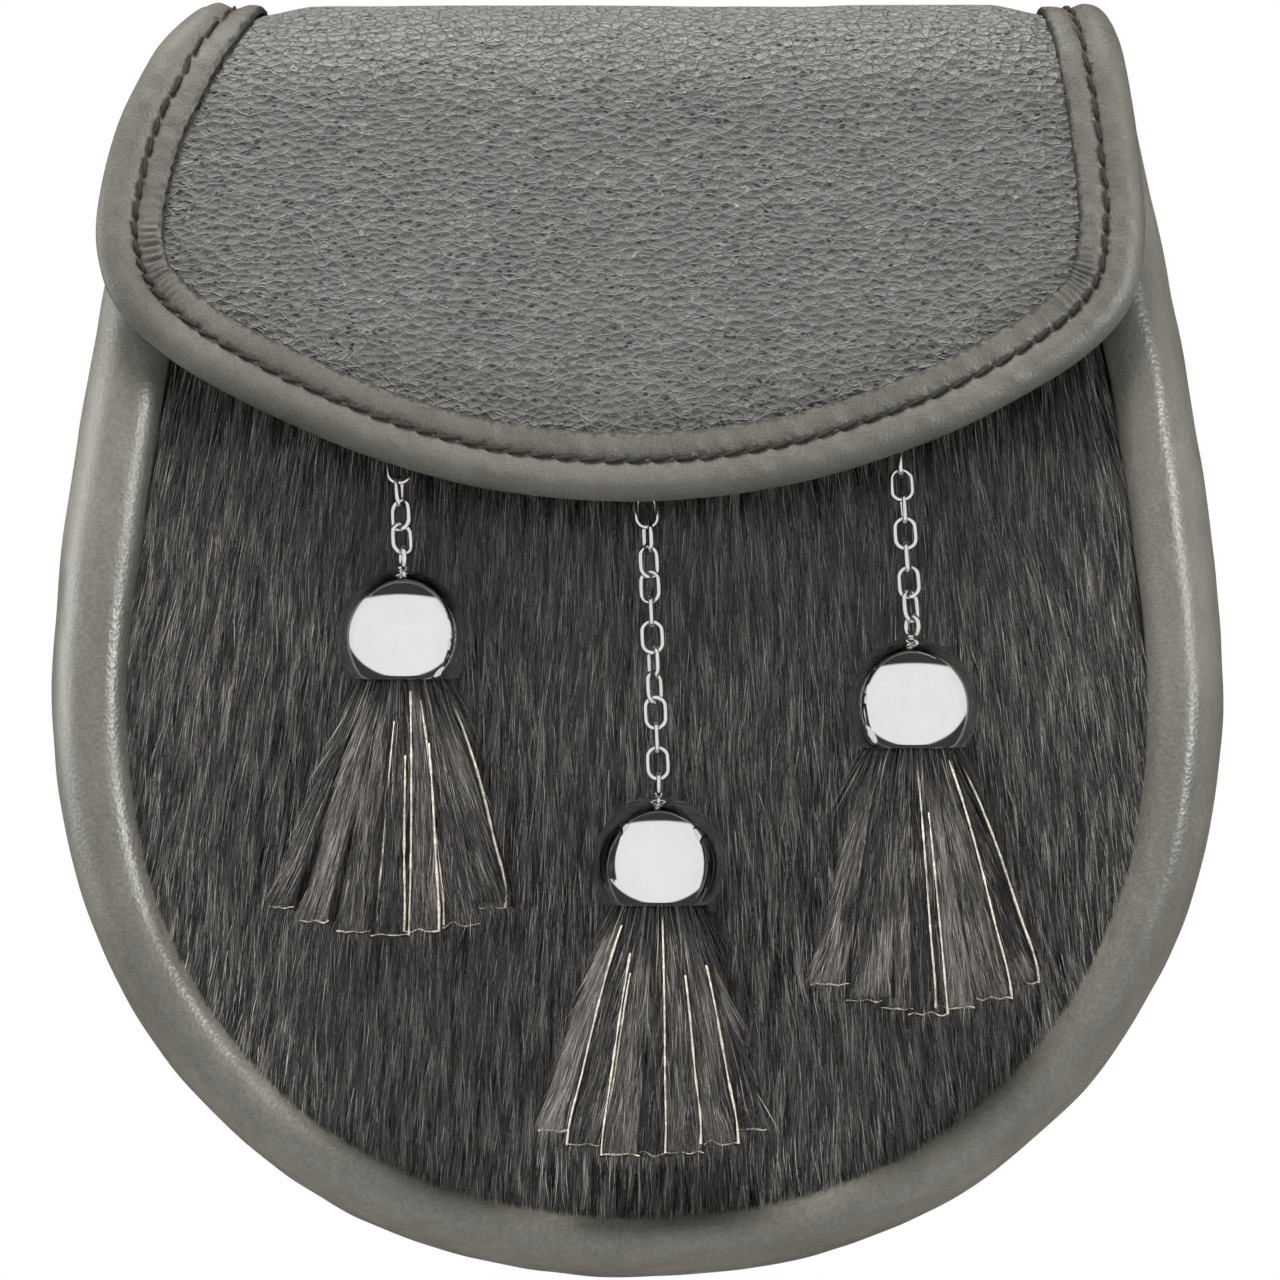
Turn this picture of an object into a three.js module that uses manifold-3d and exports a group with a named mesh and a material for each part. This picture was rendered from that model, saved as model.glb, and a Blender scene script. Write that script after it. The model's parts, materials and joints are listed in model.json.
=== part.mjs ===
// Day sporran: a leather pouch worn on a strap, with a folded flap and three tassels on chains.
// Millimetres, +Z up. The front faces -Y. The origin is on the centre line of the strap, midway
// between the two belt loops behind the back panel.
import * as THREE from 'three';
import { mergeVertices } from 'three/addons/utils/BufferGeometryUtils.js';
import Module from 'manifold-3d';

// ---------------------------------------------------------------- driving sizes
const TOP = 48; // height of the flap's fold above the strap line
const HEIGHT = 206; // from the fold to the bottom of the gusset
const HALF_WIDTH = 94.8; // at the widest place
const WIDEST_DROP = 110; // how far the widest place lies below the top
const ROUNDNESS = 2.15; // power of the superellipse below the widest place
const TAPER = 16.1; // how much each side draws in between the widest place and the mouth
const TAPER_POWER = 1.45;
const GAP = 0.3; // air between pieces that touch

const LEATHER = 2.2; // wall of the back panel and the gusset
const BACK_FACE = 2.6; // depth of the back panel's rear face in front of the strap line
const BACK_TOP = 29; // height of the back panel's top edge
const BACK_INSET = 4; // back panel's edge inside the gusset's outline

const GUSSET_TOP_DROP = 10;
const ROLL_BACK = 13; // how far the roll's outer curve runs back from its crest
const SEAM_FLANGE = 4; // leather turned in at the front seam
const REAR_CORNER = { across: 6, deep: 7 };
const REAR_FLANGE = 5;

const PANEL_THICK = 2;
const PANEL_RECESS = 5; // front panel's face behind the crest of the roll
const PANEL_BULGE = 1.2;
const MOUTH_DROP = 45; // top edge of the front panel

const FLAP_THICK = 2;
const FOLD_RADIUS = 15.35; // middle of the flap's leather
const FOLD_HEIGHT = 30; // height of the fold's centre
const FLAP_BACK_DEPTH = 1.1; // middle of the flap where it lies on the back panel
const LAP_BOTTOM = 23.5; // height of the flap's stitched end on the back
const FOLD_END = 17; // degrees above level where the fold passes into the flap's front
const FLAP_BELLY = { depth: 42.9, height: -1.4 }; // the front bows towards this point
const FLAP_END = { depth: 48.6, height: -32.4 }; // middle of the lower edge
const CORE_INSET = 2.2; // flap's own edge inside the binding's edge

const LOOP = {
  x: 48, width: 24, half: 22.5, clear: 14.5, rise: 5.2, thick: 2, slope: 4, corner: 1, innerCorner: 1.8,
};
const CHAIN = { wire: 0.75, length: 5.8, width: 4.0, pitch: 4.1 };
const LINK_STEPS = 8;
const STAPLE = { stand: 3.2, plate: 3, plateThick: 0.8 };
const CAP = { radius: 10.5, height: 17.6, waist: 6.6, mouth: 8.6, wall: 0.8, hole: 1.3 };
const CAP_DEPTH = 49.8; // depth of the caps' axes
const EYE = {
  radius: 1.7, wire: 0.8, rise: 1.9, stem: 0.6, washer: 2.4, washerThick: 0.8, washerDrop: 0.4, toLink: 3.3,
};
const SKIRT = { neck: 7.2, neckRise: 8, bottomDepth: 10, lift: 6, sides: 18 };

// Gusset, from its upper ends to the bottom: depth of the rear seam and of the roll's crest, and
// how wide the roll looks from the front.
const GUSSET_ROWS = [
  { drop: 10, rear: 8.5, crest: 23.5, band: 11.5 },
  { drop: 18, rear: 5.1, crest: 28, band: 12 },
  { drop: 35, rear: 5.1, crest: 33.3, band: 12.6 },
  { drop: 55, rear: 5.1, crest: 37.9, band: 12.8 },
  { drop: 68, rear: 5.1, crest: 40.2, band: 12.8 },
  { drop: 85, rear: 5.1, crest: 41.8, band: 12.8 },
  { drop: 110, rear: 5.1, crest: 42.5, band: 12.8 },
  { drop: 150, rear: 5.1, crest: 41.3, band: 12 },
  { drop: 206, rear: 5.1, crest: 38.5, band: 11 },
];

// Free edge of the flap, from the fold at the left, down and round to the fold at the right.
const FLAP_EDGE = [
  { x: -71.6, drop: 2.5 },
  { x: -78.6, drop: 9 },
  { x: -83.9, drop: 20 },
  { x: -86.9, drop: 33 },
  { x: -86.6, drop: 42 },
  { x: -83.2, drop: 50 },
  { x: -74.4, drop: 58 },
  { x: -61, drop: 65.5 },
  { x: -43, drop: 73.2 },
  { x: -23, drop: 78.6 },
  { x: 1, drop: 80.4 },
  { x: 25, drop: 77.6 },
  { x: 46.5, drop: 70.9 },
  { x: 62, drop: 63.4 },
  { x: 73.2, drop: 56 },
  { x: 79.6, drop: 48 },
  { x: 81.7, drop: 37 },
  { x: 80.6, drop: 22 },
  { x: 78.6, drop: 9 },
  { x: 76, drop: 2.5 },
];
const FLAP_CORNERS = [5.4, 14.2]; // where on that list the lower corners are

// Section of the binding: distance in from its edge, and height over the middle of the flap.
const BINDING_SECTION = [
  { inward: 10.8, over: 1.5 },
  { inward: 10.8, over: 2.5 },
  { inward: 6.4, over: 2.5 },
  { inward: 3.2, over: 2.8 },
  { inward: 0.9, over: 2 },
  { inward: 0, over: 0 },
  { inward: 0.9, over: -2 },
  { inward: 3.2, over: -2.5 },
  { inward: 9.5, over: -2.5 },
  { inward: 9.5, over: -1.5 },
  { inward: 5.5, over: -1.5 },
  { inward: 1.5, over: -1.5 },
  { inward: 1.5, over: 1.5 },
  { inward: 6, over: 1.5 },
];

// The three tassels: the cap's axis and top, the bunch of strips below it, and where the chain starts
// on the front panel (reach is how far out towards the panel's edge). turns has an angle for each
// link, from the cap up: how far it has turned about the chain.
const TASSELS = [
  {
    side: 'left', x: -37.6, capDrop: 91.3, skirt: 41.5, spread: 21.2, lean: -2,
    chainX: -38.9, reach: 0.6, eyeTurn: 10, turns: [30, -38, -108, -180, -265, -350],
  },
  {
    side: 'middle', x: 3.4, capDrop: 127.5, skirt: 40.6, spread: 20, lean: -1.2,
    chainX: 0.9, reach: 0.5, eyeTurn: 0,
    turns: [0, 90, 170, 230, 295, 365, 450, 510, 575, 650, 725, 815, 900],
  },
  {
    side: 'right', x: 44, capDrop: 102.3, skirt: 42.8, spread: 19.2, lean: 2.4,
    chainX: 41.6, reach: 0.6, eyeTurn: 35, turns: [50, -20, -95, -180, -265, -360, -450, -540],
  },
];

// Outer form of a bunch: share of its fall, and how far it has spread in width and in depth.
const SKIRT_ROWS = [
  { fall: -1, width: 0, depth: 0 },
  { fall: 0, width: 0.03, depth: 0.1 },
  { fall: 0.15, width: 0.2, depth: 0.5 },
  { fall: 0.4, width: 0.48, depth: 1 },
  { fall: 0.7, width: 0.76, depth: 1 },
  { fall: 0.93, width: 0.98, depth: 0.9 },
  { fall: 1, width: 0.95, depth: 0.5 },
];

// ---------------------------------------------------------------- materials
function material(color, roughness, metalness) {
  return new THREE.MeshStandardMaterial({ color, roughness, metalness });
}
const smoothLeather = material(0x5b5a52, 0.45, 0);
const grainedLeather = material(0x63635f, 0.6, 0);
const hairHide = material(0x211d1b, 0.7, 0);
const chrome = material(0xc9cbce, 0.08, 1);

const sporran = new THREE.Group();
function addPiece(name, geometry, finish) {
  const mesh = new THREE.Mesh(geometry, finish);
  mesh.name = name;
  sporran.add(mesh);
  return mesh;
}

// ---------------------------------------------------------------- shape helpers
// A smooth column of a table, read at any place between its rows, that never overshoots a row.
function smoothColumn(rows, key, column) {
  const places = rows.map((row) => row[key]);
  const values = rows.map((row) => row[column]);
  const slopes = places.slice(1).map((place, i) => (values[i + 1] - values[i]) / (place - places[i]));
  const bends = places.map((_, i) => {
    const before = slopes[Math.max(i - 1, 0)];
    const after = slopes[Math.min(i, slopes.length - 1)];
    return before * after > 0 ? (2 * before * after) / (before + after) : 0;
  });
  return (at) => {
    const x = THREE.MathUtils.clamp(at, places[0], places.at(-1));
    const i = Math.max(0, places.findLastIndex((place, n) => n < slopes.length && place <= x));
    const width = places[i + 1] - places[i];
    const t = (x - places[i]) / width;
    const rise = values[i + 1] - values[i];
    const ease = t * t * (3 - 2 * t);
    const bow = t * (1 - t) * ((1 - t) * bends[i] - t * bends[i + 1]) * width;
    return values[i] + rise * ease + bow;
  };
}

function geometryOf(points, triangles) {
  const geometry = new THREE.BufferGeometry();
  const numbers = points.flatMap((p) => p.toArray());
  geometry.setAttribute('position', new THREE.Float32BufferAttribute(numbers, 3));
  geometry.setIndex(triangles);
  geometry.computeVertexNormals();
  return geometry;
}

// Closed skin through rings of equal length; flat is the ring's outline for its two end caps.
function loft(rings, flat) {
  const size = rings[0].length;
  const triangles = [];
  for (let ring = 0; ring + 1 < rings.length; ring += 1) {
    for (let i = 0; i < size; i += 1) {
      const a = ring * size + i;
      const b = ring * size + ((i + 1) % size);
      triangles.push(a, b, b + size, a, b + size, a + size);
    }
  }
  const last = (rings.length - 1) * size;
  const turning = Math.sign(THREE.ShapeUtils.area(flat));
  for (const corner of THREE.ShapeUtils.triangulateShape([...flat], [])) {
    const same = Math.sign(THREE.ShapeUtils.area(corner.map((i) => flat[i]))) === turning;
    const [a, b, c] = same ? corner : [...corner].reverse();
    triangles.push(a, c, b, last + a, last + b, last + c);
  }
  return outward(geometryOf(rings.flat(), triangles));
}

// Sheet of leather between an outer and an inner grid of points (same rows and columns).
function sheet(outer, inner) {
  const rows = outer.length;
  const columns = outer[0].length;
  const inside = rows * columns;
  const triangles = [];
  const quad = (a, b, c, d) => triangles.push(a, b, c, a, c, d);
  for (let r = 0; r + 1 < rows; r += 1) {
    for (let c = 0; c + 1 < columns; c += 1) {
      const a = r * columns + c;
      quad(a, a + 1, a + 1 + columns, a + columns);
      quad(inside + a, inside + a + columns, inside + a + 1 + columns, inside + a + 1);
    }
  }
  const rim = [];
  for (let c = 0; c + 1 < columns; c += 1) rim.push(c);
  for (let r = 0; r + 1 < rows; r += 1) rim.push(r * columns + columns - 1);
  for (let c = columns - 1; c > 0; c -= 1) rim.push((rows - 1) * columns + c);
  for (let r = rows - 1; r > 0; r -= 1) rim.push(r * columns);
  rim.forEach((a, i) => {
    const b = rim[(i + 1) % rim.length];
    quad(b, a, inside + a, inside + b);
  });
  return outward(geometryOf([...outer.flat(), ...inner.flat()], triangles));
}

// Turns every face over if the skin encloses a negative volume.
function outward(geometry) {
  const p = geometry.getAttribute('position');
  const index = geometry.getIndex().array;
  const [a, b, c] = [new THREE.Vector3(), new THREE.Vector3(), new THREE.Vector3()];
  let volume = 0;
  for (let i = 0; i < index.length; i += 3) {
    a.fromBufferAttribute(p, index[i]);
    b.fromBufferAttribute(p, index[i + 1]);
    c.fromBufferAttribute(p, index[i + 2]);
    volume += a.dot(b.cross(c));
  }
  if (volume < 0) index.reverse();
  geometry.computeVertexNormals();
  return geometry;
}

const wasm = await Module();
wasm.setup();
function solidOf(geometry) {
  const bare = geometry.clone();
  bare.deleteAttribute('normal');
  bare.deleteAttribute('uv');
  const merged = mergeVertices(bare, 1e-4);
  const vertProperties = new Float32Array(merged.getAttribute('position').array);
  const triVerts = new Uint32Array(merged.getIndex().array);
  return new wasm.Manifold(new wasm.Mesh({ numProp: 3, vertProperties, triVerts }));
}
function join(...geometries) {
  const solid = geometries.map(solidOf).reduce((all, one) => all.add(one));
  const mesh = solid.getMesh();
  const geometry = new THREE.BufferGeometry();
  geometry.setAttribute('position', new THREE.Float32BufferAttribute(mesh.vertProperties, 3));
  geometry.setIndex([...mesh.triVerts]);
  geometry.computeVertexNormals();
  return geometry;
}

// ---------------------------------------------------------------- outline of the pouch
const crestAt = smoothColumn(GUSSET_ROWS, 'drop', 'crest');
const rearAt = smoothColumn(GUSSET_ROWS, 'drop', 'rear');
const bandAt = smoothColumn(GUSSET_ROWS, 'drop', 'band');
const UPPER_SHARE = 0.4; // share of each half outline that lies above the widest place

// along runs from -1 at the upper left end, through 0 at the bottom, to 1 at the upper right end.
function outlinePoint(along, topDrop) {
  const side = Math.sign(along) || 1;
  const share = Math.abs(along);
  if (share > 1 - UPPER_SHARE) {
    const rise = ((share - 1 + UPPER_SHARE) / UPPER_SHARE) * (WIDEST_DROP - topDrop);
    const drawn = TAPER * (rise / (WIDEST_DROP - GUSSET_TOP_DROP)) ** TAPER_POWER;
    return new THREE.Vector2(side * (HALF_WIDTH - drawn), TOP - WIDEST_DROP + rise);
  }
  const angle = (share / (1 - UPPER_SHARE)) * (Math.PI / 2);
  const across = HALF_WIDTH * Math.sin(angle) ** (2 / ROUNDNESS);
  const down = (HEIGHT - WIDEST_DROP) * Math.cos(angle) ** (2 / ROUNDNESS);
  return new THREE.Vector2(side * across, TOP - WIDEST_DROP - down);
}

// Even steps along the outline, each with its point and the direction that faces out.
function outlineSteps(count, topDrop) {
  const fine = Array.from({ length: 801 }, (_, i) => outlinePoint(-1 + i / 400, topDrop));
  const curve = new THREE.SplineCurve(fine);
  curve.arcLengthDivisions = 1600;
  return Array.from({ length: count + 1 }, (_, i) => {
    const tangent = curve.getTangentAt(i / count);
    return { point: curve.getPointAt(i / count), out: new THREE.Vector2(tangent.y, -tangent.x) };
  });
}

function place(step, outwardBy, depth) {
  const x = step.point.x + step.out.x * outwardBy;
  const z = step.point.y + step.out.y * outwardBy;
  return new THREE.Vector3(x, -depth, z);
}

// ---------------------------------------------------------------- gusset
// Half of the section is the leather's outer face, from the front seam over the crest of the roll,
// round to the rear seam; the other half is the inner face on the way back.
const CREST_SHARE = 0.42; // how far across the roll its crest lies
const BACK_OF_CREST = 68; // degrees at which the roll's outer curve takes over from the crest
function gussetFace(drop, inset) {
  const band = bandAt(drop);
  const crest = crestAt(drop);
  const rear = rearAt(drop);
  const crestAcross = band * CREST_SHARE;
  const rollBack = Math.min(ROLL_BACK, (crest - rear) * 0.45);
  const rearDeep = Math.min(REAR_CORNER.deep, (crest - rear) * 0.35);
  const face = [[-band + inset, crest - PANEL_RECESS - SEAM_FLANGE]];
  const arc = (centre, reach, from, to, steps) => {
    for (let i = 0; i <= steps; i += 1) {
      const angle = THREE.MathUtils.degToRad(from + ((to - from) * i) / steps);
      const across = centre[0] + (reach[0] - inset) * Math.cos(angle);
      const depth = centre[1] + (reach[1] - inset) * Math.sin(angle);
      face.push([across, depth]);
    }
  };
  arc([-band + crestAcross, crest - PANEL_RECESS], [crestAcross, PANEL_RECESS], 180, 90, 3);
  arc([-band + crestAcross, crest - rollBack], [band - crestAcross, rollBack], BACK_OF_CREST, 0, 4);
  arc([-REAR_CORNER.across, rear + rearDeep], [REAR_CORNER.across, rearDeep], 0, -90, 3);
  face.push([-REAR_CORNER.across - REAR_FLANGE, rear + inset]);
  return face;
}

function gussetSection(drop) {
  return [...gussetFace(drop, 0), ...gussetFace(drop, LEATHER).reverse()];
}

const GUSSET_STEPS = 46;
function makeGusset() {
  const steps = outlineSteps(GUSSET_STEPS, GUSSET_TOP_DROP);
  const ringAt = (step) => gussetSection(TOP - step.point.y).map(([out, depth]) => place(step, out, depth));
  const rings = steps.map(ringAt);
  const flat = gussetSection(WIDEST_DROP).map(([out, depth]) => new THREE.Vector2(out, depth));
  return loft(rings, flat);
}

// ---------------------------------------------------------------- front and back panels
// Depth of the front panel's face; reach is 0 at the middle of the panel and 1 at its edge.
function panelDepth(drop, reach) {
  return crestAt(drop) - PANEL_RECESS + PANEL_BULGE * (1 - reach * reach);
}

const LEAST_STEP = 0.5;
// Closed edge of a panel, inside the outline by inset, cut off straight along its top.
function panelEdge(count, topCount, topDrop, inset) {
  const cut = TOP - topDrop;
  const moveIn = ({ point, out }) => point.clone().addScaledVector(out, -inset(TOP - point.y));
  const whole = outlineSteps(count, GUSSET_TOP_DROP).map(moveIn);
  const crossing = (above, below) => above.clone().lerp(below, (above.y - cut) / (above.y - below.y));
  const first = whole.findIndex((p) => p.y < cut);
  const last = whole.findLastIndex((p) => p.y < cut);
  const left = crossing(whole[first - 1], whole[first]);
  const right = crossing(whole[last + 1], whole[last]);
  const top = Array.from({ length: topCount + 1 }, (_, i) => right.clone().lerp(left, i / topCount));
  const tooNear = (p) => Math.min(p.distanceTo(left), p.distanceTo(right)) < LEAST_STEP;
  return [...whole.slice(first, last + 1).filter((p) => !tooNear(p)), ...top];
}

const PANEL_RINGS = 6;
function makeFrontPanel() {
  const edge = panelEdge(GUSSET_STEPS, 8, MOUTH_DROP, (drop) => bandAt(drop) + GAP);
  const middle = new THREE.Vector2(0, TOP - WIDEST_DROP - 4);
  const points = [];
  for (const behind of [0, PANEL_THICK]) {
    points.push(new THREE.Vector3(middle.x, behind - panelDepth(TOP - middle.y, 0), middle.y));
    for (let ring = 1; ring <= PANEL_RINGS; ring += 1) {
      const reach = ring / PANEL_RINGS;
      for (const p of edge) {
        const spot = middle.clone().lerp(p, reach);
        points.push(new THREE.Vector3(spot.x, behind - panelDepth(TOP - spot.y, reach), spot.y));
      }
    }
  }
  const layer = points.length / 2;
  const triangles = [];
  const size = edge.length;
  const at = (ring, i) => 1 + (ring - 1) * size + (i % size);
  for (let i = 0; i < size; i += 1) {
    triangles.push(0, at(1, i), at(1, i + 1), layer, layer + at(1, i + 1), layer + at(1, i));
    for (let ring = 1; ring < PANEL_RINGS; ring += 1) {
      const [a, b, c, d] = [at(ring, i), at(ring + 1, i), at(ring + 1, i + 1), at(ring, i + 1)];
      triangles.push(a, b, c, a, c, d, layer + a, layer + c, layer + b, layer + a, layer + d, layer + c);
    }
    const [a, b] = [at(PANEL_RINGS, i), at(PANEL_RINGS, i + 1)];
    triangles.push(a, layer + a, layer + b, a, layer + b, b);
  }
  return outward(geometryOf(points, triangles));
}

// An extruded outline drawn in X and Z, from the depth near to the depth far.
function plateBetween(outline, near, far) {
  const shape = new THREE.Shape(outline);
  const geometry = new THREE.ExtrudeGeometry(shape, { depth: far - near, bevelEnabled: false });
  geometry.rotateX(Math.PI / 2);
  geometry.translate(0, -near, 0);
  return geometry;
}

function makeBackPanel() {
  const edge = panelEdge(GUSSET_STEPS, 4, TOP - BACK_TOP, () => BACK_INSET);
  return plateBetween(edge, BACK_FACE, BACK_FACE + LEATHER);
}

// ---------------------------------------------------------------- flap and its binding
// The flap's leather is worked out flat: across is X, along is the way over the fold from the
// stitched end on the back. bend() puts a flat point in its place.
const LAP = FOLD_HEIGHT - LAP_BOTTOM;
const FOLD_TURN = Math.PI - THREE.MathUtils.degToRad(FOLD_END);
const FOLD_LENGTH = FOLD_TURN * FOLD_RADIUS;
const FOLD_DEPTH = FLAP_BACK_DEPTH + FOLD_RADIUS;

// Way down the front, in depth and height, and on past the lower edge.
const foldOut = new THREE.Vector2(Math.cos(Math.PI - FOLD_TURN), Math.sin(Math.PI - FOLD_TURN));
const fallCurve = new THREE.QuadraticBezierCurve(
  new THREE.Vector2(FOLD_DEPTH, FOLD_HEIGHT).addScaledVector(foldOut, FOLD_RADIUS),
  new THREE.Vector2(FLAP_BELLY.depth, FLAP_BELLY.height),
  new THREE.Vector2(FLAP_END.depth, FLAP_END.height),
);
const FALL_LENGTH = fallCurve.getLength();

function profileAt(along) {
  if (along < LAP) {
    const spot = new THREE.Vector2(FLAP_BACK_DEPTH, LAP_BOTTOM + along);
    return { spot, out: new THREE.Vector2(-1, 0) };
  }
  if (along < LAP + FOLD_LENGTH) {
    const angle = Math.PI - (along - LAP) / FOLD_RADIUS;
    const out = new THREE.Vector2(Math.cos(angle), Math.sin(angle));
    return { spot: new THREE.Vector2(FOLD_DEPTH, FOLD_HEIGHT).addScaledVector(out, FOLD_RADIUS), out };
  }
  const beyond = Math.max(along - LAP - FOLD_LENGTH - FALL_LENGTH, 0);
  const share = Math.min((along - LAP - FOLD_LENGTH) / FALL_LENGTH, 1);
  const tangent = fallCurve.getTangentAt(share);
  const spot = fallCurve.getPointAt(share).addScaledVector(tangent, beyond);
  return { spot, out: new THREE.Vector2(-tangent.y, tangent.x) };
}

function bend(flat, over) {
  const { spot, out } = profileAt(flat.y);
  return new THREE.Vector3(flat.x, -(spot.x + out.x * over), spot.y + out.y * over);
}

// How far along the leather the front of the flap reaches a given drop below the top.
const FRONT_START = LAP + (Math.PI / 2) * FOLD_RADIUS;
function alongAtDrop(drop) {
  let [low, high] = [FRONT_START, LAP + FOLD_LENGTH + FALL_LENGTH + 4];
  for (let i = 0; i < 40; i += 1) {
    const middle = (low + high) / 2;
    if (profileAt(middle).spot.y > TOP - drop) low = middle;
    else high = middle;
  }
  return low;
}

const flatEdge = FLAP_EDGE.map((row) => new THREE.Vector2(row.x, alongAtDrop(row.drop)));
const edgeStart = new THREE.Vector2(flatEdge[0].x + 1.5, LAP + 1);
const edgeEnd = new THREE.Vector2(flatEdge.at(-1).x - 1.5, LAP + 1);
const flapEdge = new THREE.SplineCurve([edgeStart, ...flatEdge, edgeEnd]);

// A point of the flap's edge, moved in by inward; place runs from 0 at the left to 1 at the right.
function edgePoint(place, inward) {
  const tangent = flapEdge.getTangent(place);
  return flapEdge.getPoint(place).add(new THREE.Vector2(-tangent.y, tangent.x).multiplyScalar(-inward));
}

const BINDING_STEPS = 72;
function makeBinding() {
  flapEdge.arcLengthDivisions = 800;
  const rings = Array.from({ length: BINDING_STEPS + 1 }, (_, i) => {
    const t = flapEdge.getUtoTmapping(i / BINDING_STEPS);
    return BINDING_SECTION.map(({ inward, over }) => bend(edgePoint(t, inward), over));
  });
  const flat = BINDING_SECTION.map(({ inward, over }) => new THREE.Vector2(inward, over));
  return loft(rings, flat);
}

// The flap is a patch between four edges: its stitched end, its two sides and its lower edge.
const FLAP_ROWS = 22;
const FLAP_COLUMNS = 16;
function makeFlap() {
  const spans = flatEdge.length + 1;
  const [leftCorner, rightCorner] = FLAP_CORNERS.map((row) => (row + 1) / spans);
  const left = (t) => edgePoint(leftCorner * t, CORE_INSET);
  const right = (t) => edgePoint(1 - (1 - rightCorner) * t, CORE_INSET);
  const lower = (t) => edgePoint(leftCorner + (rightCorner - leftCorner) * t, CORE_INSET);
  const upper = (t) => left(0).lerp(right(0), t);
  const patch = (across, down) => {
    const sides = left(down).multiplyScalar(1 - across).addScaledVector(right(down), across);
    const ends = upper(across).multiplyScalar(1 - down).addScaledVector(lower(across), down);
    const top = upper(0).multiplyScalar(1 - across).addScaledVector(upper(1), across);
    const bottom = lower(0).multiplyScalar(1 - across).addScaledVector(lower(1), across);
    return sides.add(ends).sub(top.multiplyScalar(1 - down)).sub(bottom.multiplyScalar(down));
  };
  const layer = (over) => {
    const rows = [];
    for (const along of [0, LAP / 2]) {
      rows.push(Array.from({ length: FLAP_COLUMNS + 1 }, (_, c) => {
        const across = upper(c / FLAP_COLUMNS);
        return bend(new THREE.Vector2(across.x, along), over);
      }));
    }
    for (let r = 0; r <= FLAP_ROWS; r += 1) {
      const spotAt = (_, c) => bend(patch(c / FLAP_COLUMNS, r / FLAP_ROWS), over);
      rows.push(Array.from({ length: FLAP_COLUMNS + 1 }, spotAt));
    }
    return rows;
  };
  return sheet(layer(FLAP_THICK / 2), layer(-FLAP_THICK / 2));
}

// ---------------------------------------------------------------- what holds the pouch and the flap
// A piece drawn in its own axes, set down at a place with its axes turned to the given directions.
function setDown(geometry, place, right, up, front) {
  geometry.applyMatrix4(new THREE.Matrix4().makeBasis(right, up, front).setPosition(place));
  return geometry;
}

// Leather strip across the strap: both ends lie on the back panel, the middle stands off it.
function makeBeltLoop() {
  const near = BACK_FACE - GAP;
  const far = near - LOOP.thick;
  const raised = LOOP.rise - GAP;
  const half = (step, depth, side) => [
    [depth, side * LOOP.half],
    [depth, side * (step + LOOP.slope)],
    [depth - raised, side * step],
  ];
  const face = (step, depth) => [...half(step, depth, -1), ...half(step, depth, 1).reverse()];
  const outer = face(LOOP.clear - LOOP.corner, far);
  const inner = face(LOOP.clear - LOOP.innerCorner, near);
  const corners = [...outer, ...inner.reverse()];
  const shape = new THREE.Shape(corners.map(([depth, z]) => new THREE.Vector2(depth, z)));
  const geometry = new THREE.ExtrudeGeometry(shape, { depth: LOOP.width, bevelEnabled: false });
  geometry.translate(0, 0, -LOOP.width / 2);
  return geometry;
}
const DEPTH_AXIS = new THREE.Vector3(0, -1, 0);
const UP = new THREE.Vector3(0, 0, 1);
const LEFT = new THREE.Vector3(-1, 0, 0);

function beltLoopAt(x) {
  return setDown(makeBeltLoop(), new THREE.Vector3(x, 0, 0), DEPTH_AXIS, UP, LEFT);
}

function lathe(profile, segments) {
  const points = profile.map(([radius, height]) => new THREE.Vector2(radius, height));
  return outward(new THREE.LatheGeometry(points, segments));
}

// The front panel's face near a place: how deep it is, and the directions along it and out of it.
function panelSeat(x, z, reach) {
  const slope = (panelDepth(TOP - z + 1, reach) - panelDepth(TOP - z - 1, reach)) / 2;
  const up = new THREE.Vector3(0, slope, 1).normalize();
  const out = new THREE.Vector3().crossVectors(up, new THREE.Vector3(1, 0, 0)).normalize();
  const spot = new THREE.Vector3(x, -panelDepth(TOP - z, reach), z);
  return { spot, up, out: out.y > 0 ? out.negate() : out };
}

// Press stud in the space between the front panel and the flap.
const STUD = { radius: 5, waist: 2.6, rim: 1, slope: 0.6, z: -8, clear: 0.6, reach: 0.4 };
function makeSnapStud() {
  const { spot, up, out } = panelSeat(0, STUD.z, STUD.reach);
  const flapBack = bend(new THREE.Vector2(0, alongAtDrop(TOP - STUD.z)), -FLAP_THICK / 2);
  const height = flapBack.clone().sub(spot).dot(out) - 2 * STUD.clear;
  const geometry = lathe([
    [0, 0],
    [STUD.radius, 0],
    [STUD.radius, STUD.rim],
    [STUD.waist, STUD.rim + STUD.slope],
    [STUD.waist, height - STUD.rim - STUD.slope],
    [STUD.radius, height - STUD.rim],
    [STUD.radius, height],
    [0, height],
  ], 20);
  const foot = spot.clone().addScaledVector(out, STUD.clear);
  return setDown(geometry, foot, up, out, new THREE.Vector3().crossVectors(up, out));
}

// ---------------------------------------------------------------- chains, caps and tassels
// A link is a ring stretched along the chain: its two halves stand apart by length less width.
function linkShape(wire, length, width) {
  const geometry = new THREE.TorusGeometry((width - wire) / 2, wire / 2, 6, LINK_STEPS);
  geometry.rotateZ(Math.PI / LINK_STEPS);
  const p = geometry.getAttribute('position');
  for (let i = 0; i < p.count; i += 1) {
    const apart = (Math.sign(p.getY(i)) * (length - width)) / 2;
    p.setY(i, p.getY(i) + apart);
  }
  return geometry;
}

const SEAT_TRIES = 8; // steps that bring the staple to the chain's upper end
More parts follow.
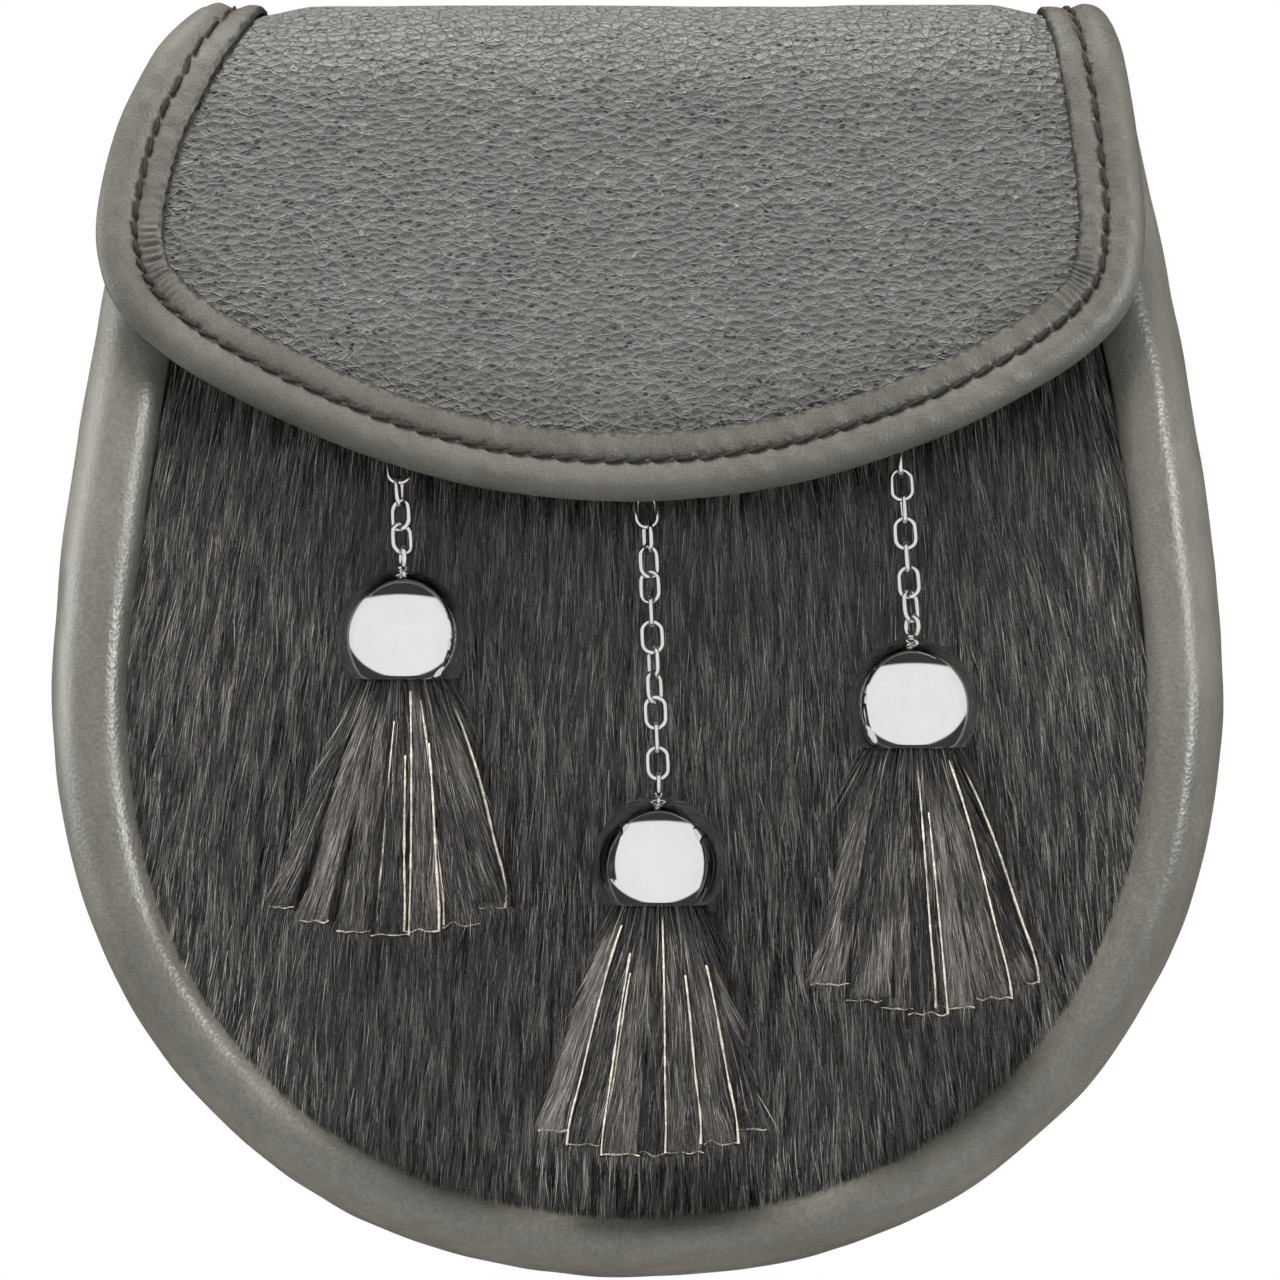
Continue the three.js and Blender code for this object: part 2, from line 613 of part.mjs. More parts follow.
// Places on one tassel, worked out from its row: the cap's mouth, its eye, and the chain.
function tasselPlan(row) {
  const capTop = TOP - row.capDrop;
  const mouth = new THREE.Vector3(row.x, -CAP_DEPTH, capTop - CAP.height);
  const eye = new THREE.Vector3(row.x, -CAP_DEPTH, capTop + EYE.rise);
  const chainLength = EYE.toLink + CHAIN.pitch * row.turns.length;
  const seatAt = (z) => panelSeat(row.chainX, z, row.reach);
  let stapleZ = eye.z + chainLength;
  let staple = null;
  for (let i = 0; i < SEAT_TRIES; i += 1) {
    const { spot, out } = seatAt(stapleZ);
    staple = spot.clone().addScaledVector(out, STAPLE.stand);
    stapleZ -= staple.distanceTo(eye) - chainLength;
  }
  const along = staple.clone().sub(eye).normalize();
  return { mouth, eye, staple, along, seat: seatAt(stapleZ) };
}

function makeStaple(plan) {
  const ring = new THREE.TorusGeometry((CHAIN.length - CHAIN.wire) / 2, CHAIN.wire / 2, 6, LINK_STEPS);
  ring.rotateY(Math.PI / 2);
  const plate = new THREE.CylinderGeometry(STAPLE.plate, STAPLE.plate, STAPLE.plateThick, 12);
  plate.translate(0, 2 * GAP + STAPLE.plateThick / 2 - STAPLE.stand, 0);
  const { up, out } = plan.seat;
  return setDown(join(ring, plate), plan.staple, new THREE.Vector3().crossVectors(out, up), out, up);
}

function makeLink(plan, index, turned) {
  const reach = EYE.toLink + CHAIN.pitch * index;
  const centre = plan.eye.clone().addScaledVector(plan.along, reach);
  const square = new THREE.Vector3(1, 0, 0).projectOnPlane(plan.along).normalize();
  const across = square.applyAxisAngle(plan.along, THREE.MathUtils.degToRad(turned));
  const face = new THREE.Vector3().crossVectors(across, plan.along);
  return setDown(linkShape(CHAIN.wire, CHAIN.length, CHAIN.width), centre, across, plan.along, face);
}

function capProfile(inset) {
  const radius = CAP.radius - inset;
  const topReach = CAP.height - CAP.waist - inset;
  const tuck = Math.acos(CAP.mouth / CAP.radius);
  const lowReach = CAP.waist / Math.sin(tuck);
  const profile = [];
  const first = Math.asin(CAP.hole / radius);
  for (let i = 0; i <= 5; i += 1) {
    const angle = first + ((Math.PI / 2 - first) * i) / 5;
    profile.push([radius * Math.sin(angle), CAP.waist + topReach * Math.cos(angle)]);
  }
  for (let i = 1; i <= 2; i += 1) {
    const angle = (tuck * i) / 2;
    profile.push([radius * Math.cos(angle), CAP.waist - lowReach * Math.sin(angle)]);
  }
  return profile;
}

function makeCap() {
  const profile = [...capProfile(0), ...capProfile(CAP.wall).reverse()];
  const geometry = lathe([...profile, profile[0]], 20);
  return geometry.rotateX(Math.PI / 2);
}

// Wire ring over the cap, with a stem through the cap's hole and a washer inside it.
function makeEye(turned) {
  const ring = new THREE.TorusGeometry(EYE.radius, EYE.wire / 2, 6, LINK_STEPS);
  ring.rotateX(Math.PI / 2);
  ring.rotateZ(Math.PI / 2 + THREE.MathUtils.degToRad(turned));
  ring.translate(0, 0, CAP.height + EYE.rise);
  const washerTop = CAP.height - CAP.wall - 2 * GAP - EYE.washerDrop;
  const stem = lathe([
    [0, washerTop - EYE.washerThick],
    [EYE.washer, washerTop - EYE.washerThick],
    [EYE.washer, washerTop],
    [EYE.stem, washerTop],
    [EYE.stem, CAP.height + EYE.rise - EYE.radius],
    [0, CAP.height + EYE.rise - EYE.radius],
  ], 10);
  stem.rotateX(Math.PI / 2);
  return join(ring, stem);
}

// The bunch of strips as one solid: an oval cone with a rounded lower edge, flat enough in depth to
// lie against the front panel.
function makeSkirt(row) {
  const rows = SKIRT_ROWS.map(({ fall, width, depth }) => {
    const z = fall < 0 ? -fall * SKIRT.neckRise : -fall * row.skirt;
    const halfWidth = SKIRT.neck + (row.spread - SKIRT.neck) * width;
    const halfDepth = SKIRT.neck + (SKIRT.bottomDepth - SKIRT.neck) * depth;
    return Array.from({ length: SKIRT.sides }, (_, i) => {
      const angle = (2 * Math.PI * i) / SKIRT.sides;
      const lift = Math.max(fall, 0) * SKIRT.lift * Math.cos(angle) ** 2;
      const shift = row.lean * Math.max(fall, 0);
      return new THREE.Vector3(shift + halfWidth * Math.cos(angle), halfDepth * Math.sin(angle), z + lift);
    });
  });
  const flat = rows[0].map((p) => new THREE.Vector2(p.x, p.y));
  return loft(rows, flat);
}

// ---------------------------------------------------------------- assembly
addPiece('back_panel', makeBackPanel(), smoothLeather);
addPiece('gusset', makeGusset(), smoothLeather);
addPiece('front_panel', makeFrontPanel(), hairHide);
addPiece('flap', makeFlap(), grainedLeather);
addPiece('flap_binding', makeBinding(), smoothLeather);
addPiece('snap_stud', makeSnapStud(), chrome);
addPiece('belt_loop_left', beltLoopAt(-LOOP.x), smoothLeather);
addPiece('belt_loop_right', beltLoopAt(LOOP.x), smoothLeather);

for (const row of TASSELS) {
  const plan = tasselPlan(row);
  addPiece(`chain_staple_${row.side}`, makeStaple(plan), chrome);
  row.turns.forEach((turned, index) => {
    addPiece(`chain_${row.side}_link_${index + 1}`, makeLink(plan, index, turned), chrome);
  });
  addPiece(`cap_eye_${row.side}`, makeEye(row.eyeTurn), chrome).position.copy(plan.mouth);
  addPiece(`tassel_cap_${row.side}`, makeCap(), chrome).position.copy(plan.mouth);
  addPiece(`tassel_${row.side}`, makeSkirt(row), hairHide).position.copy(plan.mouth);
}

export default sporran;
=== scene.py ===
"""A day sporran with its looks: a leather pouch with a hide front, a grained flap with stitched
edging, and three hide tassels under metal caps on chains. It is worked out in millimetres."""

import json
import math

import bmesh
import bpy
import numpy as np
from mathutils import Matrix, Vector

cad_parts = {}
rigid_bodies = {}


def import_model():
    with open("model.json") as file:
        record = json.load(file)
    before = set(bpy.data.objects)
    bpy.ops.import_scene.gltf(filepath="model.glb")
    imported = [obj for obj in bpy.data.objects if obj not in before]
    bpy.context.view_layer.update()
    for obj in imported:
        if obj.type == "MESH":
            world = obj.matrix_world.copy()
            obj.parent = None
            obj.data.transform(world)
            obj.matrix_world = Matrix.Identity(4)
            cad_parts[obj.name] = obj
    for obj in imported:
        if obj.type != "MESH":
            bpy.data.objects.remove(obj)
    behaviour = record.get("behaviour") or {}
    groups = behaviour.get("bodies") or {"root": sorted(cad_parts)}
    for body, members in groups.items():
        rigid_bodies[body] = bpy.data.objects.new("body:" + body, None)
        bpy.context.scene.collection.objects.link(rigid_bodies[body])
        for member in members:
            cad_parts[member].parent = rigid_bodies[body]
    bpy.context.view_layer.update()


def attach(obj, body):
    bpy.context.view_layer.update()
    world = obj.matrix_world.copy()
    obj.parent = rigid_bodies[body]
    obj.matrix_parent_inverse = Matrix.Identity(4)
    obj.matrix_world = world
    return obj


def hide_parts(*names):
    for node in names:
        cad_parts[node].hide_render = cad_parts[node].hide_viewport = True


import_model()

MM = 0.001
BODY = "root"

# ------------------------------------------------------------------ sizes of the pouch
TOP = 48
HEIGHT = 206
HALF_WIDTH = 94.8
WIDEST_DROP = 110
ROUNDNESS = 2.15
TAPER = 16.1
TAPER_POWER = 1.45
GAP = 0.3
LEATHER = 2.2
BACK_FACE = 2.6
BACK_TOP = 29
BACK_INSET = 4
GUSSET_TOP_DROP = 10
ROLL_BACK = 13
SEAM_FLANGE = 4
REAR_ACROSS, REAR_DEEP, REAR_FLANGE = 6, 7, 5
PANEL_THICK = 2
PANEL_RECESS = 5
PANEL_BULGE = 1.2
MOUTH_DROP = 45
PANEL_MIDDLE = (0.0, TOP - WIDEST_DROP - 4.0)

FLAP_THICK = 2
FOLD_RADIUS = 15.35
FOLD_HEIGHT = 30
FLAP_BACK_DEPTH = 1.1
LAP_BOTTOM = 23.5
FOLD_END = 17
FLAP_BELLY = (42.9, -1.4)
FLAP_END = (48.6, -32.4)
CORE_INSET = 2.2
STITCH_PITCH = 4.05
STITCH_LINE = 6.3
THREAD_RADIUS = 0.3
FLAP_FULLNESS = 0.75
FOLD_FULLNESS = 0.9

LOOP_X, LOOP_WIDTH, LOOP_HALF, LOOP_CLEAR, LOOP_RISE, LOOP_THICK = 48, 24, 22.5, 14.5, 5.2, 2
LINK_WIRE, LINK_LENGTH, LINK_WIDTH, LINK_PITCH = 0.75, 5.8, 4, 4.1
STAPLE_STAND, STAPLE_PLATE, STAPLE_PLATE_THICK = 3.2, 3, 0.8
CAP_RADIUS, CAP_HEIGHT, CAP_WAIST, CAP_MOUTH, CAP_WALL, CAP_HOLE = 10.5, 17.6, 6.6, 8.6, 0.8, 1.3
CAP_DEPTH = 49.8
EYE_RADIUS, EYE_WIRE, EYE_RISE, EYE_STEM = 1.7, 0.8, 1.9, 0.6
EYE_WASHER, EYE_WASHER_THICK, EYE_TO_LINK = 2.4, 0.8, 3.3
STUD_RADIUS, STUD_WAIST, STUD_RIM, STUD_Z, STUD_CLEAR = 5, 2.6, 1, -8, 0.6

# The gusset from its upper ends to the bottom: drop, depth of its rear seam, depth of the roll's
# crest, and how wide the roll is from the front.
GUSSET_DROPS = (10, 18, 35, 55, 68, 85, 110, 150, 206)
GUSSET_REARS = (8.5, 5.1, 5.1, 5.1, 5.1, 5.1, 5.1, 5.1, 5.1)
GUSSET_CRESTS = (23.5, 28, 33.3, 37.9, 40.2, 41.8, 42.5, 41.3, 38.5)
GUSSET_BANDS = (11.5, 12, 12.6, 12.8, 12.8, 12.8, 12.8, 12, 11)

# The flap's free edge, from the fold at the left, round its lower side, to the fold at the right.
FLAP_EDGE = (
    (-71.6, 2.5), (-78.6, 9), (-83.9, 20), (-86.9, 33), (-86.6, 42), (-83.2, 50), (-74.4, 58),
    (-61, 65.5), (-43, 73.2), (-23, 78.6), (1, 80.4), (25, 77.6), (46.5, 70.9), (62, 63.4),
    (73.2, 56), (79.6, 48), (81.7, 37), (80.6, 22), (78.6, 9), (76, 2.5),
)
FLAP_CORNERS = (5.4, 14.2)

# How many hairs there are, and how long and wide they are.
FUR_TRIES, FUR_HAIRS, FUR_LENGTH = 215000, 132000, (8, 13)
FUR_WIDTH, STRIP_HAIR_WIDTH, STRIP_HAIR_LENGTH = (0.07, 0.13), (0.08, 0.15), (7, 12)
FRONT_STRIPS, FRONT_STRIP_HAIRS, OTHER_STRIP_HAIRS, NECK_HAIRS = 7, 1700, 1000, 900

# side, cap's place across, drop of its top, fall of the strips, their spread and lean, where the
# chain starts on the front panel and how far out that is, the eye's turn, and each link's turn
# from the cap up
TASSELS = (
    ("left", -37.6, 91.3, 41.5, 22.2, -2, -38.9, 0.6, 10, (30, -38, -108, -180, -265, -350)),
    ("middle", 3.4, 127.5, 40.6, 20.8, -1.2, 0.9, 0.5, 0,
     (0, 90, 170, 230, 295, 365, 450, 510, 575, 650, 725, 815, 900)),
    ("right", 44, 102.3, 42.8, 20.2, 2.4, 41.6, 0.6, 35,
     (50, -20, -95, -180, -265, -360, -450, -540)),
)


# ------------------------------------------------------------------ lines and surfaces
def smooth_column(places, values):
    """A column of a table read at any place between its rows, without going past a row."""
    places, values = np.array(places, float), np.array(values, float)
    slopes = np.diff(values) / np.diff(places)
    before = np.concatenate([slopes[:1], slopes])
    after = np.concatenate([slopes, slopes[-1:]])
    both = before * after > 0
    bends = np.where(both, 2 * before * after / np.where(both, before + after, 1), 0)

    def read(at):
        x = np.clip(at, places[0], places[-1])
        i = np.clip(np.searchsorted(places, x, side="right") - 1, 0, len(slopes) - 1)
        width = places[i + 1] - places[i]
        t = (x - places[i]) / width
        bow = t * (1 - t) * ((1 - t) * bends[i] - t * bends[i + 1]) * width
        return values[i] + (values[i + 1] - values[i]) * t * t * (3 - 2 * t) + bow

    return read


def even_steps(points, count):
    """count points at even distances along a line of points."""
    points = np.asarray(points, float)
    reach = np.concatenate([[0], np.cumsum(np.linalg.norm(np.diff(points, axis=0), axis=1))])
    places = np.linspace(0, reach[-1], count)
    return np.stack([np.interp(places, reach, column) for column in points.T], axis=1)


def spline_through(points, per_span):
    """A smooth line through points, with per_span steps from each to the next."""
    p = np.asarray(points, float)
    held = np.vstack([p[:1], p, p[-1:]])
    t = np.linspace(0, 1, per_span, endpoint=False)[:, None]
    spans = []
    for a, b, c, d in zip(held[:-3], held[1:-2], held[2:-1], held[3:]):
        leave, arrive = (c - a) / 2, (d - b) / 2
        cubic = (2 * b - 2 * c + leave + arrive) * t**3
        spans.append(cubic + (3 * c - 3 * b - 2 * leave - arrive) * t**2 + leave * t + b)
    return np.vstack([*spans, p[-1:]])


def unit(vectors):
    vectors = np.asarray(vectors, float)
    return vectors / np.maximum(np.linalg.norm(vectors, axis=-1, keepdims=True), 1e-9)


def swell(points, size, seed):
    """Smooth random rise and fall over points, about -1 to 1, with features of the given size."""
    draw = np.random.default_rng(seed)
    points = np.asarray(points, float)
    total = np.zeros(points.shape[:-1])
    for _ in range(14):
        wave = draw.normal(size=points.shape[-1])
        wave *= 2 * math.pi / size * draw.uniform(0.6, 1.5) / np.linalg.norm(wave)
        total += np.sin(points @ wave + draw.uniform(0, 2 * math.pi))
    return total / 4


def grid_faces(rows, columns, wrap=False):
    """Four-cornered faces over a grid of points; wrap joins the last column to the first."""
    across = np.arange(columns if wrap else columns - 1)
    r, c = np.meshgrid(np.arange(rows - 1), across, indexing="ij")
    a = (r * columns + c).ravel()
    b = (r * columns + (c + 1) % columns).ravel()
    return np.stack([a, b, b + columns, a + columns], axis=1)


def tube_faces(rows, size):
    """Faces round and along a row of rings; each end is closed by strips from side to side."""
    i = np.arange(size // 2 - 1)
    start = np.stack([i, size - 1 - i, size - 2 - i, i + 1], axis=1)
    end = start[:, ::-1] + (rows - 1) * size
    return np.vstack([grid_faces(rows, size, wrap=True), start, end])


def sheet_faces(rows, columns):
    """Faces of a thin sheet: an outer grid, an inner grid after it, and the rim between them."""
    outer = grid_faces(rows, columns)
    inside = rows * columns
    rim = np.concatenate([
        np.arange(columns - 1),
        np.arange(rows - 1) * columns + columns - 1,
        (rows - 1) * columns + np.arange(columns - 1, 0, -1),
        np.arange(rows - 1, 0, -1) * columns,
    ])
    ahead = np.roll(rim, -1)
    edge = np.stack([ahead, rim, rim + inside, ahead + inside], axis=1)
    return np.vstack([outer, outer[:, ::-1] + inside, edge])


def mesh_of(name, points, faces, uv=None, values=None, closed=True):
    """A mesh from points in millimetres and faces with the same number of corners each. uv is a
    place for each point in the mesh's own map, values are numbers that each point carries."""
    points = np.asarray(points, float).reshape(-1, 3) * MM
    faces = np.asarray(faces, np.int32)
    if closed:
        corner = points[faces]
        fan = [(corner[:, 0], corner[:, k], corner[:, k + 1]) for k in range(1, faces.shape[1] - 1)]
        if sum(np.einsum("ij,ij->", a, np.cross(b, c)) for a, b, c in fan) < 0:
            faces = faces[:, ::-1]
    mesh = bpy.data.meshes.new(name)
    mesh.vertices.add(len(points))
    mesh.vertices.foreach_set("co", points.astype(np.float32).ravel())
    mesh.loops.add(faces.size)
    mesh.loops.foreach_set("vertex_index", np.ascontiguousarray(faces).ravel())
    mesh.polygons.add(len(faces))
    starts = np.arange(0, faces.size, faces.shape[1], dtype=np.int32)
    mesh.polygons.foreach_set("loop_start", starts)
    mesh.update(calc_edges=True)
    if uv is not None:
        places = np.asarray(uv, np.float32).reshape(-1, 2)[faces.ravel()]
        mesh.uv_layers.new(name="UVMap").data.foreach_set("uv", places.ravel())
    for key, column in (values or {}).items():
        attribute = mesh.attributes.new(key, "FLOAT", "POINT")
        attribute.data.foreach_set("value", np.asarray(column, np.float32).ravel())
    mesh.shade_smooth()
    return mesh


def put_in_place(piece, finishes, stands_for=()):
    """Gives a piece its finishes and fixes it to the sporran."""
    piece.data.materials.clear()
    for finish in finishes:
        piece.data.materials.append(finish)
    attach(piece, BODY)
    if stands_for:
        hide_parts(*stands_for)
    return piece


def piece_of(name, mesh, finishes, stands_for=()):
    piece = bpy.data.objects.new(name, mesh)
    bpy.context.scene.collection.objects.link(piece)
    return put_in_place(piece, finishes, stands_for)


# ------------------------------------------------------------------ finishes
GRAIN = 76
FINE_GRAIN = 160


def tint(red, green, blue):
    """A colour from its three everyday shares out of 255."""
    shares = [c / 255 for c in (red, green, blue)]
    return [s / 12.92 if s <= 0.04045 else ((s + 0.055) / 1.055) ** 2.4 for s in shares] + [1]


class Finish:
    """A material built up node by node on one shader."""

    def __init__(self, name, roughness=0.5, metallic=0.0, specular=0.5):
        self.material = bpy.data.materials.new(name)
        self.material.use_nodes = True
        self.tree = self.material.node_tree
        self.shader = self.tree.nodes["Principled BSDF"]
        self.shader.inputs["Roughness"].default_value = roughness
        self.shader.inputs["Metallic"].default_value = metallic
        self.shader.inputs["Specular IOR Level"].default_value = specular

    def add(self, kind, sockets=None, **settings):
        node = self.tree.nodes.new(kind)
        for key, value in settings.items():
            setattr(node, key, value)
        for key, value in (sockets or {}).items():
            if isinstance(value, bpy.types.NodeSocket):
                self.tree.links.new(value, node.inputs[key])
            else:
                node.inputs[key].default_value = value
        return node

    def feed(self, socket, value):
        self.tree.links.new(value, self.shader.inputs[socket])

    def stretched(self, place, scale=(1, 1, 1), turn=(0, 0, 0)):
        sockets = {"Vector": place, "Scale": scale, "Rotation": turn}
        return self.add("ShaderNodeMapping", sockets).outputs[0]

    def place(self, scale=(1, 1, 1)):
        return self.stretched(self.add("ShaderNodeTexCoord").outputs["Object"], scale)

    def own_map(self):
        return self.add("ShaderNodeTexCoord").outputs["UV"]

    def noise(self, place, scale, detail=3.0, roughness=0.55):
        sockets = {"Vector": place, "Scale": scale, "Detail": detail, "Roughness": roughness}
        return self.add("ShaderNodeTexNoise", sockets).outputs["Fac"]

    def cells(self, place, scale, feature="F1", randomness=1.0):
        sockets = {"Vector": place, "Scale": scale, "Randomness": randomness}
        return self.add("ShaderNodeTexVoronoi", sockets, feature=feature).outputs["Distance"]

    def sum(self, *terms):
        """The sum of (value, factor) pairs."""
        total = None
        for value, factor in terms:
            part = self.math("MULTIPLY", value, factor)
            total = part if total is None else self.math("ADD", total, part)
        return total

    def math(self, operation, *values):
        return self.add("ShaderNodeMath", dict(enumerate(values)), operation=operation).outputs[0]

    def span(self, value, low, high, to_low=0.0, to_high=1.0):
        """value between low and high, eased to run between to_low and to_high."""
        sockets = {"Value": value, "From Min": low, "From Max": high,
                   "To Min": to_low, "To Max": to_high}
        eased = self.add("ShaderNodeMapRange", sockets, interpolation_type="SMOOTHSTEP")
        return eased.outputs[0]

    def blend(self, share, first, second):
        node = self.add("ShaderNodeMix", data_type="RGBA")
        for index, value in ((0, share), (6, first), (7, second)):
            if isinstance(value, bpy.types.NodeSocket):
                self.tree.links.new(value, node.inputs[index])
            else:
                node.inputs[index].default_value = value
        return node.outputs[2]

    def paint(self, share, first, second):
        """The finish's colour, run between two colours."""
        self.feed("Base Color", self.blend(share, tint(*first), tint(*second)))

    def dull(self, value, low, high, least, most):
        """The finish's roughness, run between two values."""
        self.feed("Roughness", self.span(value, low, high, least, most))

    def bumps(self, height, distance, strength=1.0):
        sockets = {"Height": height, "Distance": distance, "Strength": strength}
        self.feed("Normal", self.add("ShaderNodeBump", sockets).outputs[0])

    def carried(self, name):
        return self.add("ShaderNodeAttribute", attribute_name=name).outputs["Fac"]


def smooth_leather(name, pale, deep, gloss):
    """Pouch leather: fine pebbles under a half-gloss dressing, with soft clouds of tone."""
    finish = Finish(name, roughness=gloss, specular=0.5)
    place = finish.place()
    clouds = finish.noise(place, 38, 4)
    pebbles = finish.cells(place, 1500)
    fine = finish.noise(place, 2600, 2)
    scuffs = finish.noise(finish.place((1, 1, 0.35)), 420, 5, 0.7)
    tone = finish.sum((clouds, 0.45), (pebbles, 0.3), (scuffs, 0.5))
    finish.paint(finish.span(tone, 0.35, 0.95), deep, pale)
    finish.dull(finish.sum((clouds, 0.6), (fine, 0.4)), 0.3, 0.7, gloss - 0.06, gloss + 0.12)
    finish.bumps(finish.sum((pebbles, 0.8), (fine, 0.35), (scuffs, 0.5)), 0.00008, 0.8)
    return finish.material


def grained_leather(name):
    """Flap leather: a net of thin pale ridges round flat cells, with dark pore pits in groups,
    partly painted shade in the pits. Painted light from above makes it paler where it folds over
    the top."""
    finish = Finish(name, roughness=0.52, specular=0.5)
    flat = finish.own_map()
    warp = finish.add("ShaderNodeTexNoise", {"Vector": flat, "Scale": 42.0, "Detail": 3.0})
    shifted = finish.add("ShaderNodeVectorMath", {0: warp.outputs["Color"], 1: (0.5, 0.5, 0.5)},
                         operation="SUBTRACT")
    moved = finish.add("ShaderNodeVectorMath", {0: shifted.outputs[0], "Scale": 0.009},
                       operation="SCALE")
    place = finish.add("ShaderNodeVectorMath", {0: flat, 1: moved.outputs[0]}, operation="ADD")
    wide = finish.stretched(place.outputs[0], (0.66, 1.2, 1))
    ridge = finish.span(finish.cells(wide, GRAIN, "DISTANCE_TO_EDGE"), 0.0, 0.075, 1, 0)
    small_ridge = finish.span(finish.cells(wide, FINE_GRAIN, "DISTANCE_TO_EDGE"), 0.0, 0.1, 1, 0)
    dish = finish.cells(wide, GRAIN)
    groups = finish.span(finish.noise(flat, 22, 2), 0.4, 0.6, 0.25, 1)
    # dark pores: real pits in the grain, and their dark colour is partly painted shade inside them
    pores_and_painted_shade = finish.math("MULTIPLY", finish.span(finish.cells(wide, 84), 0.1, 0.32, 1, 0), groups)
    fine = finish.noise(wide, 420, 3, 0.6)
    clouds = finish.noise(flat, 4.5, 3)
    along = finish.add("ShaderNodeSeparateXYZ", {0: flat}).outputs["Y"]
    # painted light: the flap is painted paler towards the top of its fold, where light from above
    # falls on it
    painted_top_light = finish.span(along, 0.34, 0.56, 1, 0)
    tone = finish.sum((painted_top_light, 0.44), (ridge, 0.36), (small_ridge, 0.08), (fine, 0.2),
                      (clouds, 0.1), (dish, 0.2), (pores_and_painted_shade, -0.6))
    finish.paint(finish.span(tone, -0.25, 0.85), (35, 34, 31), (122, 120, 115))
    finish.dull(finish.sum((ridge, -0.3), (fine, 0.6)), 0.0, 0.5, 0.4, 0.58)
    relief = finish.sum((dish, 1.0), (ridge, 0.4), (small_ridge, 0.15), (fine, 0.25), (pores_and_painted_shade, -0.7))
    finish.bumps(relief, 0.0023, 1.0)
    return finish.material


def binding_leather(name):
    """Edging leather: fine creases across it, paler on its outer roll, dark where its inner edge is
    cut, and with painted shade along its stitch holes."""
    finish = Finish(name, roughness=0.46, specular=0.5)
    edge = finish.own_map()
    inward = finish.add("ShaderNodeSeparateXYZ", {0: edge}).outputs["Y"]
    creases = finish.noise(finish.stretched(edge, (1, 0.25, 1)), 95, 5, 0.7)
    fine = finish.noise(finish.place(), 2300, 3)
    clouds = finish.noise(finish.place(), 60, 3)
    uneven = finish.span(finish.noise(edge, 90, 4), 0.2, 0.8, -0.006, 0.006)
    ragged = finish.math("ADD", inward, uneven)
    cut = finish.span(ragged, 0.098, 0.107)
    # painted shade: the edging is darkened in a line along its stitch holes, for the shade in the
    # holes and in the crease under the stitches
    from_seam = finish.math("ABSOLUTE", finish.math("SUBTRACT", ragged, STITCH_LINE / 100))
    holes = finish.span(from_seam, 0.002, 0.0075, 1, 0)
    # a slightly paler band along the outer roll, out to 5 mm in from the edge
    paler_roll = finish.math("MULTIPLY", finish.span(inward, 0.05, 0.028),
                         finish.span(inward, 0.0, 0.02))
    tone = finish.sum((creases, 0.2), (clouds, 0.5), (fine, 0.55), (paler_roll, 0.05), (holes, -0.5))
    body = finish.blend(finish.span(tone, 0.15, 1.1), tint(40, 38, 33), tint(87, 84, 76))
    finish.feed("Base Color", finish.blend(cut, body, tint(34, 31, 26)))
    finish.dull(creases, 0.3, 0.7, 0.38, 0.52)
    finish.bumps(finish.sum((creases, 0.5), (fine, 0.7)), 0.00024, 0.9)
    return finish.material


def hide_hair(name, dark, light, gloss):
    """Short straight hair, each with a tone of its own."""
    finish = Finish(name, roughness=gloss, specular=0.55)
    own_tone = finish.carried("tone")
    tone = finish.sum((own_tone, 1.0), (finish.noise(finish.place(), 900, 2), 0.15))
    finish.paint(finish.math("POWER", finish.span(tone, 0.0, 1.1), 2.0), dark, light)
    finish.dull(own_tone, 0, 1, gloss - 0.06, gloss + 0.1)
    return finish.material


def hide_skin(name):
    """The hide under the hair: close dark stubble."""
    finish = Finish(name, roughness=0.7, specular=0.3)
    streaks = finish.noise(finish.place((1, 1, 0.12)), 2200, 4, 0.7)
    finish.paint(finish.span(streaks, 0.35, 0.7), (16, 13, 12), (46, 41, 37))
    finish.bumps(streaks, 0.0003, 0.8)
    return finish.material


def cut_hide(name):
    """The pale cut edge and flesh side of a hide strip."""
    finish = Finish(name, roughness=0.85, specular=0.25)
    fibres = finish.noise(finish.place(), 1700, 4, 0.7)
    finish.paint(finish.span(fibres, 0.3, 0.7), (140, 133, 119), (206, 199, 184))
    finish.bumps(fibres, 0.0002, 0.7)
    return finish.material


def bright_metal(name, low, high):
    """Bright plating with the faintest haze and ripple of a pressed part."""
    finish = Finish(name, roughness=0.04, metallic=1.0)
    haze = finish.noise(finish.place(), 160, 4, 0.6)
    ripple = finish.noise(finish.place(), 210, 2)
    finish.paint(haze, low, high)
    finish.dull(haze, 0.3, 0.8, 0.025, 0.09)
    finish.bumps(ripple, 0.00004, 0.35)
    return finish.material


def waxed_thread(name):
    """Waxed thread: two strands twisted, dark with pale fluff where it rubs."""
    finish = Finish(name, roughness=0.5, specular=0.4)
    slanted = finish.stretched(finish.own_map(), turn=(0, 0, 0.7))
    twist = {"Vector": slanted, "Scale": 1.3, "Distortion": 1.0}
    strands = finish.add("ShaderNodeTexWave", twist).outputs["Fac"]
    fluff = finish.noise(finish.place(), 1500, 4)
    tone = finish.sum((strands, 0.5), (fluff, 0.7))
    finish.paint(finish.span(tone, 0.25, 1.15), (14, 12, 10), (66, 59, 50))
    finish.bumps(strands, 0.0001, 0.6)
    return finish.material


